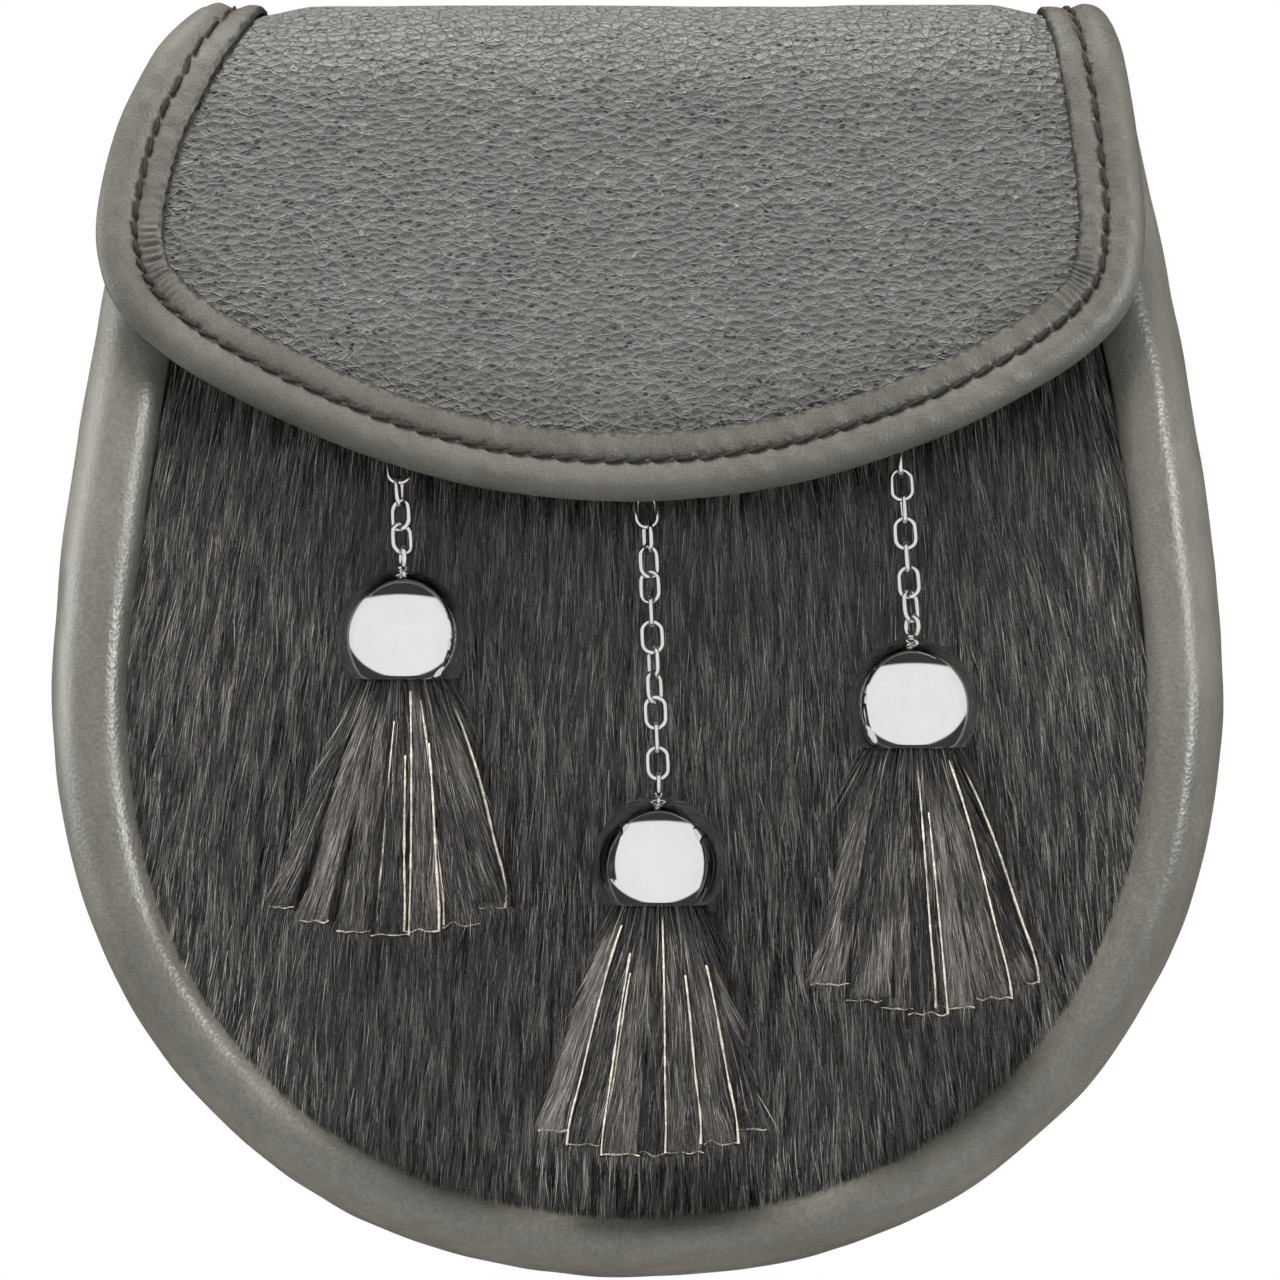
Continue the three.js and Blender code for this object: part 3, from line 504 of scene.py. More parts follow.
POUCH_LEATHER = smooth_leather("pouch_leather", pale=(95, 92, 84), deep=(72, 70, 63), gloss=0.38)
BACK_LEATHER = smooth_leather("back_leather", pale=(104, 101, 92), deep=(78, 75, 67), gloss=0.46)
LOOP_LEATHER = smooth_leather("loop_leather", pale=(100, 97, 88), deep=(70, 67, 60), gloss=0.42)
FLAP_LEATHER = grained_leather("flap_leather")
EDGING_LEATHER = binding_leather("edging_leather")
FRONT_HAIR = hide_hair("front_hair", dark=(11, 9, 8), light=(146, 141, 134), gloss=0.32)
TASSEL_HAIR = hide_hair("tassel_hair", dark=(8, 7, 6), light=(142, 136, 129), gloss=0.3)
HIDE_SKIN = hide_skin("hide_skin")
CUT_HIDE = cut_hide("cut_hide")
BRIGHT_METAL = bright_metal("bright_metal", low=(222, 223, 224), high=(240, 240, 240))
WIRE_METAL = bright_metal("wire_metal", low=(205, 206, 208), high=(232, 232, 233))
THREAD = waxed_thread("thread")


# ------------------------------------------------------------------ outline of the pouch
crest_at = smooth_column(GUSSET_DROPS, GUSSET_CRESTS)
rear_at = smooth_column(GUSSET_DROPS, GUSSET_REARS)
band_at = smooth_column(GUSSET_DROPS, GUSSET_BANDS)


def outline_steps(count):
    """Even steps round the pouch from its upper left end to its upper right end: points in X and Z
    and the direction that faces out at each."""
    rise = np.linspace(WIDEST_DROP - GUSSET_TOP_DROP, 0, 300)
    drawn = TAPER * (rise / (WIDEST_DROP - GUSSET_TOP_DROP)) ** TAPER_POWER
    side = np.stack([HALF_WIDTH - drawn, TOP - WIDEST_DROP + rise], axis=1)
    angle = np.linspace(math.pi / 2, 0, 700)[1:]
    across = HALF_WIDTH * np.sin(angle) ** (2 / ROUNDNESS)
    down = (HEIGHT - WIDEST_DROP) * np.cos(angle) ** (2 / ROUNDNESS)
    right = np.vstack([side, np.stack([across, TOP - WIDEST_DROP - down], axis=1)])
    points = even_steps(np.vstack([right * (-1, 1), right[::-1][1:]]), count)
    tangent = unit(np.gradient(points, axis=0))
    return points, np.stack([tangent[:, 1], -tangent[:, 0]], axis=1)


def at_depth(flat, depth):
    """Points drawn in X and Z, at their depths in front of the strap line."""
    depth = np.broadcast_to(depth, flat.shape[:-1])
    return np.stack([flat[..., 0], -depth, flat[..., 1]], axis=-1)


def gusset_face(drop, inset):
    """Outward distance and depth of the gusset's face, from the front seam to the rear seam."""
    band, crest, rear = band_at(drop), crest_at(drop), rear_at(drop)
    crest_across = band * 0.42
    roll_back = np.minimum(ROLL_BACK, (crest - rear) * 0.45)
    rear_deep = np.minimum(REAR_DEEP, (crest - rear) * 0.35)
    across = [-band + inset, -band + inset]
    depth = [crest - PANEL_RECESS - SEAM_FLANGE, crest - PANEL_RECESS - SEAM_FLANGE / 2]

    def arc(middle_across, middle_depth, reach_across, reach_depth, first, last, steps):
        for angle in np.radians(np.linspace(first, last, steps)):
            across.append(middle_across + (reach_across - inset) * math.cos(angle))
            depth.append(middle_depth + (reach_depth - inset) * math.sin(angle))

    arc(-band + crest_across, crest - PANEL_RECESS, crest_across, PANEL_RECESS, 180, 90, 12)
    arc(-band + crest_across, crest - roll_back, band - crest_across, roll_back, 82, 0, 16)
    arc(-REAR_ACROSS, rear + rear_deep, REAR_ACROSS, rear_deep, 0, -90, 10)
    across.append(np.full_like(band, -REAR_ACROSS - REAR_FLANGE))
    depth.append(rear + inset)
    across = [np.broadcast_to(a, band.shape) for a in across]
    depth = [np.broadcast_to(d, band.shape) for d in depth]
    return np.stack(across, axis=1), np.stack(depth, axis=1)


def make_gusset():
    """The side wall: leather rolled forward round the front, a little dented by use."""
    steps = 420
    points, out = outline_steps(steps)
    drop = TOP - points[:, 1]
    outer, inner = gusset_face(drop, 0), gusset_face(drop, LEATHER)
    across = np.hstack([outer[0], inner[0][:, ::-1]])
    depth = np.hstack([outer[1], inner[1][:, ::-1]])
    flat = points[:, None] + out[:, None] * across[..., None]
    rings = at_depth(flat, depth)
    dents = 0.13 * swell(rings, 26, 4) + 0.05 * swell(rings, 9, 5)
    rings[..., 0] -= out[:, None, 0] * (dents + 0.15)
    rings[..., 2] -= out[:, None, 1] * (dents + 0.15)
    mesh = mesh_of("gusset_leather", rings, tube_faces(steps, rings.shape[1]))
    return piece_of("gusset_leather", mesh, [POUCH_LEATHER], ["gusset"])


# ------------------------------------------------------------------ front and back panels
def panel_edge(count, top_count, top_drop, inset):
    """Closed edge of a panel, inside the outline by inset, cut off straight along its top."""
    points, out = outline_steps(count)
    whole = points - out * np.broadcast_to(inset(TOP - points[:, 1]), len(points))[:, None]
    cut = TOP - top_drop
    low = np.nonzero(whole[:, 1] < cut)[0]
    first, last = low[0], low[-1]

    def crossing(above, below):
        share = (above[1] - cut) / (above[1] - below[1])
        return above + (below - above) * share

    left, right = crossing(whole[first - 1], whole[first]), crossing(whole[last + 1], whole[last])
    share = np.linspace(0, 1, top_count)[:, None]
    return np.vstack([whole[first:last + 1], right + (left - right) * share])


def panel_depth(flat, reach):
    """Depth of the front panel's face; reach is 0 at its middle and 1 at its edge."""
    return crest_at(TOP - flat[..., 1]) - PANEL_RECESS + PANEL_BULGE * (1 - reach * reach)


FRONT_EDGE = panel_edge(260, 60, MOUTH_DROP, lambda drop: band_at(drop) + GAP)


def reach_of(flat):
    """How far out points lie between the front panel's middle and its edge."""
    from_middle = FRONT_EDGE - PANEL_MIDDLE
    turn = np.arctan2(from_middle[:, 1], from_middle[:, 0])
    order = np.argsort(turn)
    away = flat - PANEL_MIDDLE
    limit = np.interp(np.arctan2(away[..., 1], away[..., 0]), turn[order],
                      np.linalg.norm(from_middle, axis=1)[order], period=2 * math.pi)
    return np.linalg.norm(away, axis=-1) / limit


def plate_mesh(name, edge, middle, front, back, rounding):
    """A leather plate inside a closed edge, its rim rounded. front and back give the two depths."""
    size = len(edge)
    reach = np.concatenate([np.linspace(0.02, 0.97, 24), [0.985, 0.994, 1.0]])
    soft = np.concatenate([np.zeros(24), [0.12, 0.4, 1.0]]) * rounding
    flat = middle + (edge - middle)[None] * reach[:, None, None]
    share = np.broadcast_to(reach[:, None], flat.shape[:2])
    near = at_depth(flat, front(flat, share) - soft[:, None])
    far = at_depth(flat, back(flat, share) + soft[:, None])
    rings = np.concatenate([near, far[::-1]])
    body = grid_faces(len(rings), size, wrap=True)
    poles = []
    for start in (0, (len(rings) - 1) * size):
        i = np.arange(0, size // 2 - 1)
        poles.append(start + np.stack([i, size - 1 - i, size - 2 - i, i + 1], axis=1))
    poles[1] = poles[1][:, ::-1]
    return mesh_of(name, rings, np.vstack([body, *poles]))


def make_front_panel():
    mesh = plate_mesh("front_panel_hide", FRONT_EDGE, np.array(PANEL_MIDDLE), panel_depth,
                      lambda flat, reach: panel_depth(flat, reach) - PANEL_THICK, 0.5)
    return piece_of("front_panel_hide", mesh, [HIDE_SKIN], ["front_panel"])


def make_back_panel():
    edge = panel_edge(260, 60, TOP - BACK_TOP, lambda drop: np.full_like(drop, float(BACK_INSET)))
    middle = np.array(PANEL_MIDDLE)

    def rear(flat, reach):
        return BACK_FACE + 0.12 * swell(flat, 40, 8) * (1 - reach) + np.zeros(flat.shape[:-1])

    mesh = plate_mesh("back_panel_leather", edge, middle,
                      lambda flat, reach: np.full(flat.shape[:-1], BACK_FACE + LEATHER), rear, 0.7)
    piece_of("back_panel_leather", mesh, [BACK_LEATHER], ["back_panel"])
    return edge


# ------------------------------------------------------------------ hair
def hair_mesh(name, roots, ways, normals, lengths, lifts, widths, tones, seed):
    """Flat hairs, each two lengths long and pointed, laid along their ways."""
    draw = np.random.default_rng(seed)
    count = len(roots)
    ways, normals = unit(ways), unit(normals)
    side = unit(np.cross(ways, normals))
    twist = draw.normal(0, 0.55, count)[:, None]
    flat_side = side * np.cos(twist) + normals * np.sin(twist)
    sway = side * (draw.normal(0, 0.06, count) * lengths)[:, None]
    half = flat_side * (widths / 2)[:, None]
    foot = roots - normals * 0.15
    middle = roots + ways * (lengths * 0.5)[:, None]
    middle = middle + normals * (lifts * 0.55)[:, None] + sway * 0.3
    tip = roots + ways * lengths[:, None] + normals * lifts[:, None] + sway
    points = np.stack([foot - half, foot + half, middle - half, middle + half, tip], axis=1)
    first = (np.arange(count) * 5)[:, None, None]
    faces = first + np.array([[0, 1, 3], [0, 3, 2], [2, 3, 4]])[None]
    values = {"tone": np.repeat(tones, 5)}
    return mesh_of(name, points, faces.reshape(-1, 3), values=values, closed=False)


def make_front_fur():
    """Hair of the front panel: it lies down and fans a little outwards."""
    draw = np.random.default_rng(21)
    low, high = FRONT_EDGE.min(axis=0), FRONT_EDGE.max(axis=0)
    flat = draw.uniform(low, high, (FUR_TRIES, 2))
    reach = reach_of(flat)
    thin = draw.uniform(0, 1, len(flat)) < np.where(flat[:, 1] > -22, 0.35, 1.0)
    keep = (reach < 0.995) & thin
    flat = flat[keep][:FUR_HAIRS]
    # streaks of lighter and darker hair along the locks: partly the tone of the hair, partly
    # painted sheen
    tone_and_sheen_streak = swell(flat * (1, 0.12), 2.2, 31)
    drift = swell(flat, 24, 32)
    lean = flat[:, 0] / 70 * 0.15 + 0.05 * drift + draw.normal(0, 0.035, len(flat))
    down = np.stack([lean, -np.ones(len(flat))], axis=1)
    step = 0.5
    base = panel_depth(flat, reach_of(flat))
    slope_x = (panel_depth(flat + (step, 0), reach_of(flat + (step, 0))) - base) / step
    slope_z = (panel_depth(flat + (0, step), reach_of(flat + (0, step))) - base) / step
    forward = slope_x * down[:, 0] + slope_z * down[:, 1]
    ways = np.stack([down[:, 0], -forward, down[:, 1]], axis=1)
    normals = np.stack([-slope_x, -np.ones(len(flat)), -slope_z], axis=1)
    lengths = draw.uniform(*FUR_LENGTH, len(flat))
    over = reach_of(flat + down * lengths[:, None])
    crowd = np.clip((over - 0.97) / 0.1, 0, 1)
    lengths *= 1 - 0.45 * crowd
    lifts = draw.uniform(0.3, 1.1, len(flat)) + 2.6 * crowd
    tones = np.clip(0.1 + 0.16 * tone_and_sheen_streak + draw.exponential(0.25, len(flat)), 0, 1)
    widths = draw.uniform(*FUR_WIDTH, len(flat))
    roots = at_depth(flat, base)
    half = len(flat) // 2
    for name, part in (("front_fur_under", slice(0, half)), ("front_fur_over", slice(half, None))):
        mesh = hair_mesh(name, roots[part], ways[part], normals[part], lengths[part],
                         lifts[part], widths[part], tones[part], 33)
        piece_of(name, mesh, [FRONT_HAIR])


# ------------------------------------------------------------------ flap and its binding
LAP = FOLD_HEIGHT - LAP_BOTTOM
FOLD_TURN = math.pi - math.radians(FOLD_END)
FOLD_LENGTH = FOLD_TURN * FOLD_RADIUS
FOLD_DEPTH = FLAP_BACK_DEPTH + FOLD_RADIUS


def fall_table():
    """The flap's way down the front in fine steps: distance, depth and height, and direction."""
    turn = math.radians(FOLD_END)
    start = np.array([FOLD_DEPTH + FOLD_RADIUS * math.cos(turn),
                      FOLD_HEIGHT + FOLD_RADIUS * math.sin(turn)])
    belly, end = np.array(FLAP_BELLY), np.array(FLAP_END)
    t = np.linspace(0, 1, 1500)[:, None]
    spots = (1 - t) ** 2 * start + 2 * t * (1 - t) * belly + t**2 * end
    ways = unit(2 * (1 - t) * (belly - start) + 2 * t * (end - belly))
    reach = np.concatenate([[0], np.cumsum(np.linalg.norm(np.diff(spots, axis=0), axis=1))])
    return reach, spots, ways


FALL_REACH, FALL_SPOTS, FALL_WAYS = fall_table()
FALL_LENGTH = FALL_REACH[-1]


def flap_profile(along):
    """Depth and height of the middle of the flap's leather, and the way out of it."""
    along = np.asarray(along, float)
    angle = math.pi - np.clip(along - LAP, 0, FOLD_LENGTH) / FOLD_RADIUS
    out = np.stack([np.cos(angle), np.sin(angle)], axis=-1)
    spot = np.array([FOLD_DEPTH, FOLD_HEIGHT]) + out * FOLD_RADIUS
    spot[..., 1] -= np.clip(LAP - along, 0, None)
    fallen = np.clip(along - LAP - FOLD_LENGTH, 0, FALL_LENGTH)
    beyond = np.clip(along - LAP - FOLD_LENGTH - FALL_LENGTH, 0, None)
    way = np.stack([np.interp(fallen, FALL_REACH, FALL_WAYS[:, k]) for k in (0, 1)], axis=-1)
    low = np.stack([np.interp(fallen, FALL_REACH, FALL_SPOTS[:, k]) for k in (0, 1)], axis=-1)
    low = low + way * beyond[..., None]
    falling = (along > LAP + FOLD_LENGTH)[..., None]
    low_out = np.stack([-way[..., 1], way[..., 0]], axis=-1)
    return np.where(falling, low, spot), np.where(falling, low_out, out)


def bend(flat, over):
    """Flat places on the flap's leather (across, along), raised by over, in their place."""
    spot, out = flap_profile(flat[..., 1])
    raised = spot + out * np.broadcast_to(over, flat.shape[:-1])[..., None]
    return np.stack([flat[..., 0], -raised[..., 0], raised[..., 1]], axis=-1)


def along_at_drop(drop):
    """How far along the leather the front of the flap reaches a drop below the top."""
    along = np.linspace(LAP + math.pi / 2 * FOLD_RADIUS, LAP + FOLD_LENGTH + FALL_LENGTH + 4, 3000)
    height = flap_profile(along)[0][:, 1]
    return np.interp(TOP - np.asarray(drop, float), height[::-1], along[::-1])


def flap_edge_line():
    rows = np.array(FLAP_EDGE, float)
    flat = np.stack([rows[:, 0], along_at_drop(rows[:, 1])], axis=1)
    start, end = (flat[0, 0] + 1.5, LAP + 1), (flat[-1, 0] - 1.5, LAP + 1)
    return spline_through(np.vstack([start, flat, end]), 60)


EDGE_LINE = flap_edge_line()
EDGE_WAYS = unit(np.gradient(EDGE_LINE, axis=0))
EDGE_REACH = np.concatenate([[0], np.cumsum(np.linalg.norm(np.diff(EDGE_LINE, axis=0), axis=1))])
EDGE_LENGTH = EDGE_REACH[-1]


def edge_point(place, inward):
    """A point moved in from the flap's edge; place counts along the fine steps of its line."""
    index = np.arange(len(EDGE_LINE))
    spot = np.stack([np.interp(place, index, EDGE_LINE[:, k]) for k in (0, 1)], axis=-1)
    way = unit(np.stack([np.interp(place, index, EDGE_WAYS[:, k]) for k in (0, 1)], axis=-1))
    inside = np.stack([way[..., 1], -way[..., 0]], axis=-1)
    return spot + inside * np.asarray(inward, float)[..., None]


def edge_at(distance, inward):
    """The same, by distance along the edge."""
    return edge_point(np.interp(distance, EDGE_REACH, np.arange(len(EDGE_LINE))), inward)


def flap_patch(columns, rows):
    """Flat places all over the flap's leather inside the binding, from fold to lower edge."""
    last = len(EDGE_LINE) - 1
    spans = len(FLAP_EDGE) + 1
    left_corner, right_corner = [(row + 1) / spans * last for row in FLAP_CORNERS]
    across, down = np.linspace(0, 1, columns), np.linspace(0, 1, rows)
    inset = np.full(rows, CORE_INSET)
    left = edge_point(left_corner * down, inset)
    right = edge_point(last - (last - right_corner) * down, inset)
    between = left_corner + (right_corner - left_corner) * across
    lower = edge_point(between, np.full(columns, CORE_INSET))
    upper = left[0] + (right[0] - left[0]) * across[:, None]
    a, d = across[None, :, None], down[:, None, None]
    sides = left[:, None] * (1 - a) + right[:, None] * a
    ends = upper[None] * (1 - d) + lower[None] * d
    top = upper[0] * (1 - a) + upper[-1] * a
    bottom = lower[0] * (1 - a) + lower[-1] * a
    return sides + ends - top * (1 - d) - bottom * d


def make_flap():
    columns, lap_rows = 170, 8
    patch = flap_patch(columns, 150)
    lap = np.empty((lap_rows, columns, 2))
    lap[..., 0] = patch[0, :, 0]
    lap[..., 1] = np.linspace(0, LAP + 1, lap_rows, endpoint=False)[:, None]
    flat = np.vstack([lap, patch])
    free = np.clip((flat[..., 1] - LAP - 12) / 30, 0, 1)
    wave = free * (0.3 * swell(flat, 55, 41) + 0.12 * swell(flat, 18, 42))
    from_edge = np.full(flat.shape[:2], np.inf)
    for spot in EDGE_LINE[::6]:
        from_edge = np.minimum(from_edge, np.hypot(flat[..., 0] - spot[0], flat[..., 1] - spot[1]))
    inside = np.clip((from_edge - 9.5) / 9, 0, 1)
    full = inside * inside * (3 - 2 * inside) * np.clip((flat[..., 1] - 8) / 8, 0, 1)
    past_fold = flat[..., 1] - LAP - FOLD_RADIUS * math.pi / 2
    full = FLAP_FULLNESS * full + FOLD_FULLNESS * inside * np.exp(-(past_fold / 15) ** 2)
    outer = bend(flat, FLAP_THICK / 2 + wave + full)
    inner = bend(flat, -FLAP_THICK / 2 + wave)
    uv = np.concatenate([flat, flat]) / 100
    mesh = mesh_of("flap_leather", np.concatenate([outer, inner]),
                   sheet_faces(*flat.shape[:2]), uv=uv)
    return piece_of("flap_leather", mesh, [FLAP_LEATHER], ["flap"])


BINDING_FACE = ((10.8, 1.55), (10.75, 2.2), (10.2, 2.5), (8.4, 2.55), (7.2, 2.3), (6.3, 2.05),
                (5.4, 2.4), (3.9, 2.95), (2.4, 2.85), (1.1, 2.1), (0.3, 1.1), (0, 0), (0.3, -1.1),
                (1.1, -1.9), (2.6, -2.45), (6, -2.5), (9.2, -2.5), (9.5, -2.2), (9.5, -1.55))
BINDING_LINING = ((10.6, 1.5), (6, 1.5), (1.5, 1.5), (1.5, 0), (1.5, -1.5), (6, -1.5), (9.35, -1.5))


def make_binding():
    """Edging folded round the flap's free edge: puffed outside its stitches, drawn down at each
    hole, and pleated inside them where it turns the corners."""
    steps, across = 900, 46
    face = even_steps(spline_through(BINDING_FACE, 8), across)
    lining = even_steps(np.array(BINDING_LINING, float), across)
    section = np.vstack([face, lining[::-1]])
    distance = np.linspace(0, EDGE_LENGTH, steps)
    inward = np.broadcast_to(section[:, 0], (steps, len(section)))
    over = np.repeat(section[None, :, 1], steps, axis=0)
    phase = distance / STITCH_PITCH
    from_hole = ((phase - np.round(phase)) * STITCH_PITCH)[:, None]
    heading = np.unwrap(np.arctan2(EDGE_WAYS[:, 1], EDGE_WAYS[:, 0]))
    bow = np.interp(distance, EDGE_REACH, np.abs(np.gradient(heading, EDGE_REACH)))
    bow = np.convolve(np.pad(bow, 20, mode="edge"), np.ones(41) / 41, mode="valid")
    pleating = np.clip(0.25 + (bow - 0.012) * 40, 0.25, 1.8)[:, None]
    on_front = (over > 0.4) & (np.arange(len(section)) < across)[None]
    inside = np.clip((inward - STITCH_LINE) / 2, 0, 1) * np.clip((10.9 - inward) / 1.5, 0.25, 1)
    lone = swell(distance[:, None], 7, 51)[:, None]
    short = swell(distance[:, None], 2.1, 53)[:, None]
    beat = np.cos(2 * math.pi * phase)[:, None]
    pleat = inside * (0.05 * beat + 0.12 * lone + 0.2 * (pleating - 0.25) * short)
    hole = np.exp(-(from_hole**2 + (inward - STITCH_LINE) ** 2) / 0.55**2)
    puff = np.clip(1 - np.abs(inward - 3.4) / 2.4, 0, 1) * (0.14 * lone - 0.03 * beat)
    over = over + on_front * (pleat + puff - 0.55 * hole)
    rough_edge = 0.12 * swell(np.stack([distance, distance], axis=1), 3.4, 52)[:, None]
    inward = inward + np.where(on_front, np.clip((inward - 9.4) / 1.4, 0, 1) * rough_edge, 0)
    flat = edge_at(np.repeat(distance[:, None], len(section), axis=1), inward)
    rings = bend(flat, over)
    uv = np.stack([np.repeat(distance[:, None], len(section), axis=1), inward], axis=-1) / 100
    uv[:, across:, 1] = 0.12
    mesh = mesh_of("binding_leather", rings, tube_faces(steps, len(section)), uv=uv)
    return piece_of("binding_leather", mesh, [EDGING_LEATHER], ["flap_binding"])


def thread_mesh(name, starts, ends, normals, radius, lift=0.45, sink=0.5):
    """Stitches: short lengths of thread that rise from one hole and dive into the next."""
    shares = np.array([0.0, 0.06, 0.2, 0.5, 0.8, 0.94, 1.0])
    swollen = np.array([0.15, 0.75, 1.0, 1.0, 1.0, 0.75, 0.15])
    heights = np.array([-sink, -sink * 0.3, lift * 0.75, lift, lift * 0.75, -sink * 0.3, -sink])
    sides = 6
    ways, normals = unit(ends - starts), unit(normals)
    across = unit(np.cross(ways, normals))
    turn = np.arange(sides) * 2 * math.pi / sides
    middle = (starts[:, None] + (ends - starts)[:, None] * shares[:, None]
              + normals[:, None] * heights[:, None])
    ring = (across[:, None, None] * np.cos(turn)[:, None]
            + normals[:, None, None] * np.sin(turn)[:, None])
    points = middle[:, :, None] + ring * (swollen * radius)[None, :, None, None]
    size = len(shares) * sides
    one = np.vstack([grid_faces(len(shares), sides, wrap=True),
                     [[0, 5, 4, 1], [1, 4, 3, 2]],
                     [[36, 37, 40, 41], [37, 38, 39, 40]]])
    faces = (np.arange(len(starts)) * size)[:, None, None] + one[None]
    uv = np.stack(np.broadcast_arrays(shares[:, None] * 3, np.arange(sides)[None] / sides), axis=-1)
    uv = np.broadcast_to(uv, (len(starts), *uv.shape))
    return mesh_of(name, points, faces.reshape(-1, 4), uv=uv)


def make_binding_stitches():
    """Thread on both sides of the binding, with a slight slant from hole to hole."""
    holes = np.arange(1, int(EDGE_LENGTH / STITCH_PITCH)) * STITCH_PITCH
    draw = np.random.default_rng(61)
    starts, ends, normals = [], [], []
    for face in (1, -1):
        line = STITCH_LINE + draw.normal(0, 0.16, len(holes))
        height = 2.12 if face > 0 else 2.5
        first = edge_at(holes + 0.12, line - 0.3)
        last = edge_at(holes + STITCH_PITCH - 0.12, np.roll(line, -1) + 0.3)
        middle = edge_at(holes + STITCH_PITCH / 2, line)
        starts.append(bend(first, face * height))
        ends.append(bend(last, face * height))
        normals.append((bend(middle, 1.0) - bend(middle, 0.0)) * face)
    mesh = thread_mesh("binding_stitches", np.vstack(starts), np.vstack(ends), np.vstack(normals),
                       THREAD_RADIUS)
    return piece_of("binding_stitches", mesh, [THREAD])


def stitch_row(line, pitch):
    """Starts and ends of stitches along a line of points."""
    length = np.sum(np.linalg.norm(np.diff(line, axis=0), axis=1))
    count = max(2, int(round(length / pitch)))
    holes = even_steps(line, count + 1)
    way = unit(holes[1:] - holes[:-1])
    return holes[:-1] + way * 0.35, holes[1:] - way * 0.35


# ------------------------------------------------------------------ back of the pouch
def make_belt_loop(side, x):
    """Leather strip that stands off the back so that the strap runs through it."""
    node = "belt_loop_" + side
    near = BACK_FACE - GAP
    raised = LOOP_RISE - GAP
    step = LOOP_CLEAR - 1
    rise = [(LOOP_HALF, 0), (step + 5, 0), (step + 3, 0.1), (step + 0.5, raised * 0.85),
            (step - 2, raised)]
    path = np.array([*[(-place, height) for place, height in rise], (0, raised + 0.25),
                     *rise[::-1]], float)
    line = even_steps(spline_through(path, 14), 90)
    way = unit(np.gradient(line, axis=0))
    out = np.stack([-way[:, 1], way[:, 0]], axis=1)
    half = LOOP_WIDTH / 2
    lip = [(half - 0.1, 0.3), (half, 1), (half - 0.3, 1.7), (half - 1.2, 2)]
    rounded = [*[(-place, height) for place, height in lip], (0, 2), *lip[::-1]]
    section = even_steps(spline_through(rounded, 10), 40)
    under = np.stack([np.linspace(half - 0.4, -half + 0.4, 40), np.zeros(40)], axis=1)
    ring = np.vstack([section, under])
    across, thick = ring[:, 0], ring[:, 1] * LOOP_THICK / 2
    z = line[:, None, 0] + out[:, None, 0] * thick
    off = line[:, None, 1] + out[:, None, 1] * thick
    points = np.stack([np.broadcast_to(x + across, z.shape), -(near - off), z], axis=-1)
    mesh = mesh_of(node + "_leather", points, tube_faces(len(line), len(ring)))
    piece_of(node + "_leather", mesh, [LOOP_LEATHER], [node])
    rows = []
    for sign in (-1, 1):
        inner, outer, edge = sign * (step + 5.2), sign * (LOOP_HALF - 1.6), half - 1.8
        box = np.array([(-edge, inner), (edge, inner), (edge, outer), (-edge, outer),
                        (-edge, inner)])
        face = -(near - LOOP_THICK)
        rows.append(np.stack([x + box[:, 0], np.full(5, face), box[:, 1]], axis=1))
    return rows


def make_back_stitches(edge, loop_rows):
    """The seams seen from behind: round the back panel, across the flap's end, and at the loops."""
    middle = np.array(PANEL_MIDDLE)
    seam = middle + (edge - middle) * (1 - 3.2 / np.linalg.norm(edge - middle, axis=1))[:, None]
    keep = seam[:, 1] < BACK_TOP - 4
    seam = at_depth(seam[keep], BACK_FACE)
    flap_end = np.linspace(-64, 64, 60)
    lap_row = bend(np.stack([flap_end, np.full(60, 3.4)], axis=1), FLAP_THICK / 2)
    starts, ends = [], []
    for line, pitch in [(seam, 4.2), (lap_row, 4.0)]:
        first, last = stitch_row(line, pitch)
        starts.append(first)
        ends.append(last)
    for box in loop_rows:
        for a, b in zip(box[:-1], box[1:]):
            first, last = stitch_row(np.stack([a, b]), 3.2)
            starts.append(first)
            ends.append(last)
    starts, ends = np.vstack(starts), np.vstack(ends)
    normals = np.broadcast_to(np.array([0.0, 1.0, 0.0]), starts.shape)
    mesh = thread_mesh("back_stitches", starts, ends, normals, 0.34, lift=0.12, sink=0.45)
    return piece_of("back_stitches", mesh, [THREAD])


# ------------------------------------------------------------------ metal pieces
def start_afresh():
    if bpy.context.object and bpy.context.object.mode != "OBJECT":
        bpy.ops.object.mode_set(mode="OBJECT")
    bpy.ops.object.select_all(action="DESELECT")


def pick_points(piece, test):
    """In edit mode, selects just the points that pass the test."""
    work = bmesh.from_edit_mesh(piece.data)
    for v in work.verts:
        v.select = bool(test(v.co))
    work.select_flush_mode()
    bmesh.update_edit_mesh(piece.data)


def turned_piece(name, profile, sides, closed_start=True, closed_end=True):
    """A piece turned on the Z axis: a ring drawn up and resized along its radii and heights."""
    start_afresh()
    radius, height = profile[0]
    bpy.ops.mesh.primitive_circle_add(
        vertices=sides, radius=radius * MM, fill_type="NGON" if closed_start else "NOTHING",
        location=(0, 0, height * MM))
    piece = bpy.context.object
    piece.name = name
    bpy.ops.object.mode_set(mode="EDIT")
    bpy.ops.mesh.select_all(action="SELECT")
    for (before, low), (after, high) in zip(profile[:-1], profile[1:]):
        drawn_up = (0, 0, (high - low) * MM)
        bpy.ops.mesh.extrude_region_move(TRANSFORM_OT_translate={"value": drawn_up})
        share = after / before
        bpy.ops.transform.resize(value=(share, share, 1), center_override=(0, 0, high * MM))
    if closed_end and not closed_start:
        bpy.ops.mesh.edge_face_add()
    bpy.ops.mesh.select_all(action="SELECT")
    bpy.ops.mesh.remove_doubles(threshold=1e-6)
    bpy.ops.mesh.normals_make_consistent(inside=False)
    bpy.ops.object.mode_set(mode="OBJECT")
    bpy.ops.object.transform_apply(location=True, rotation=True, scale=True)
    return piece


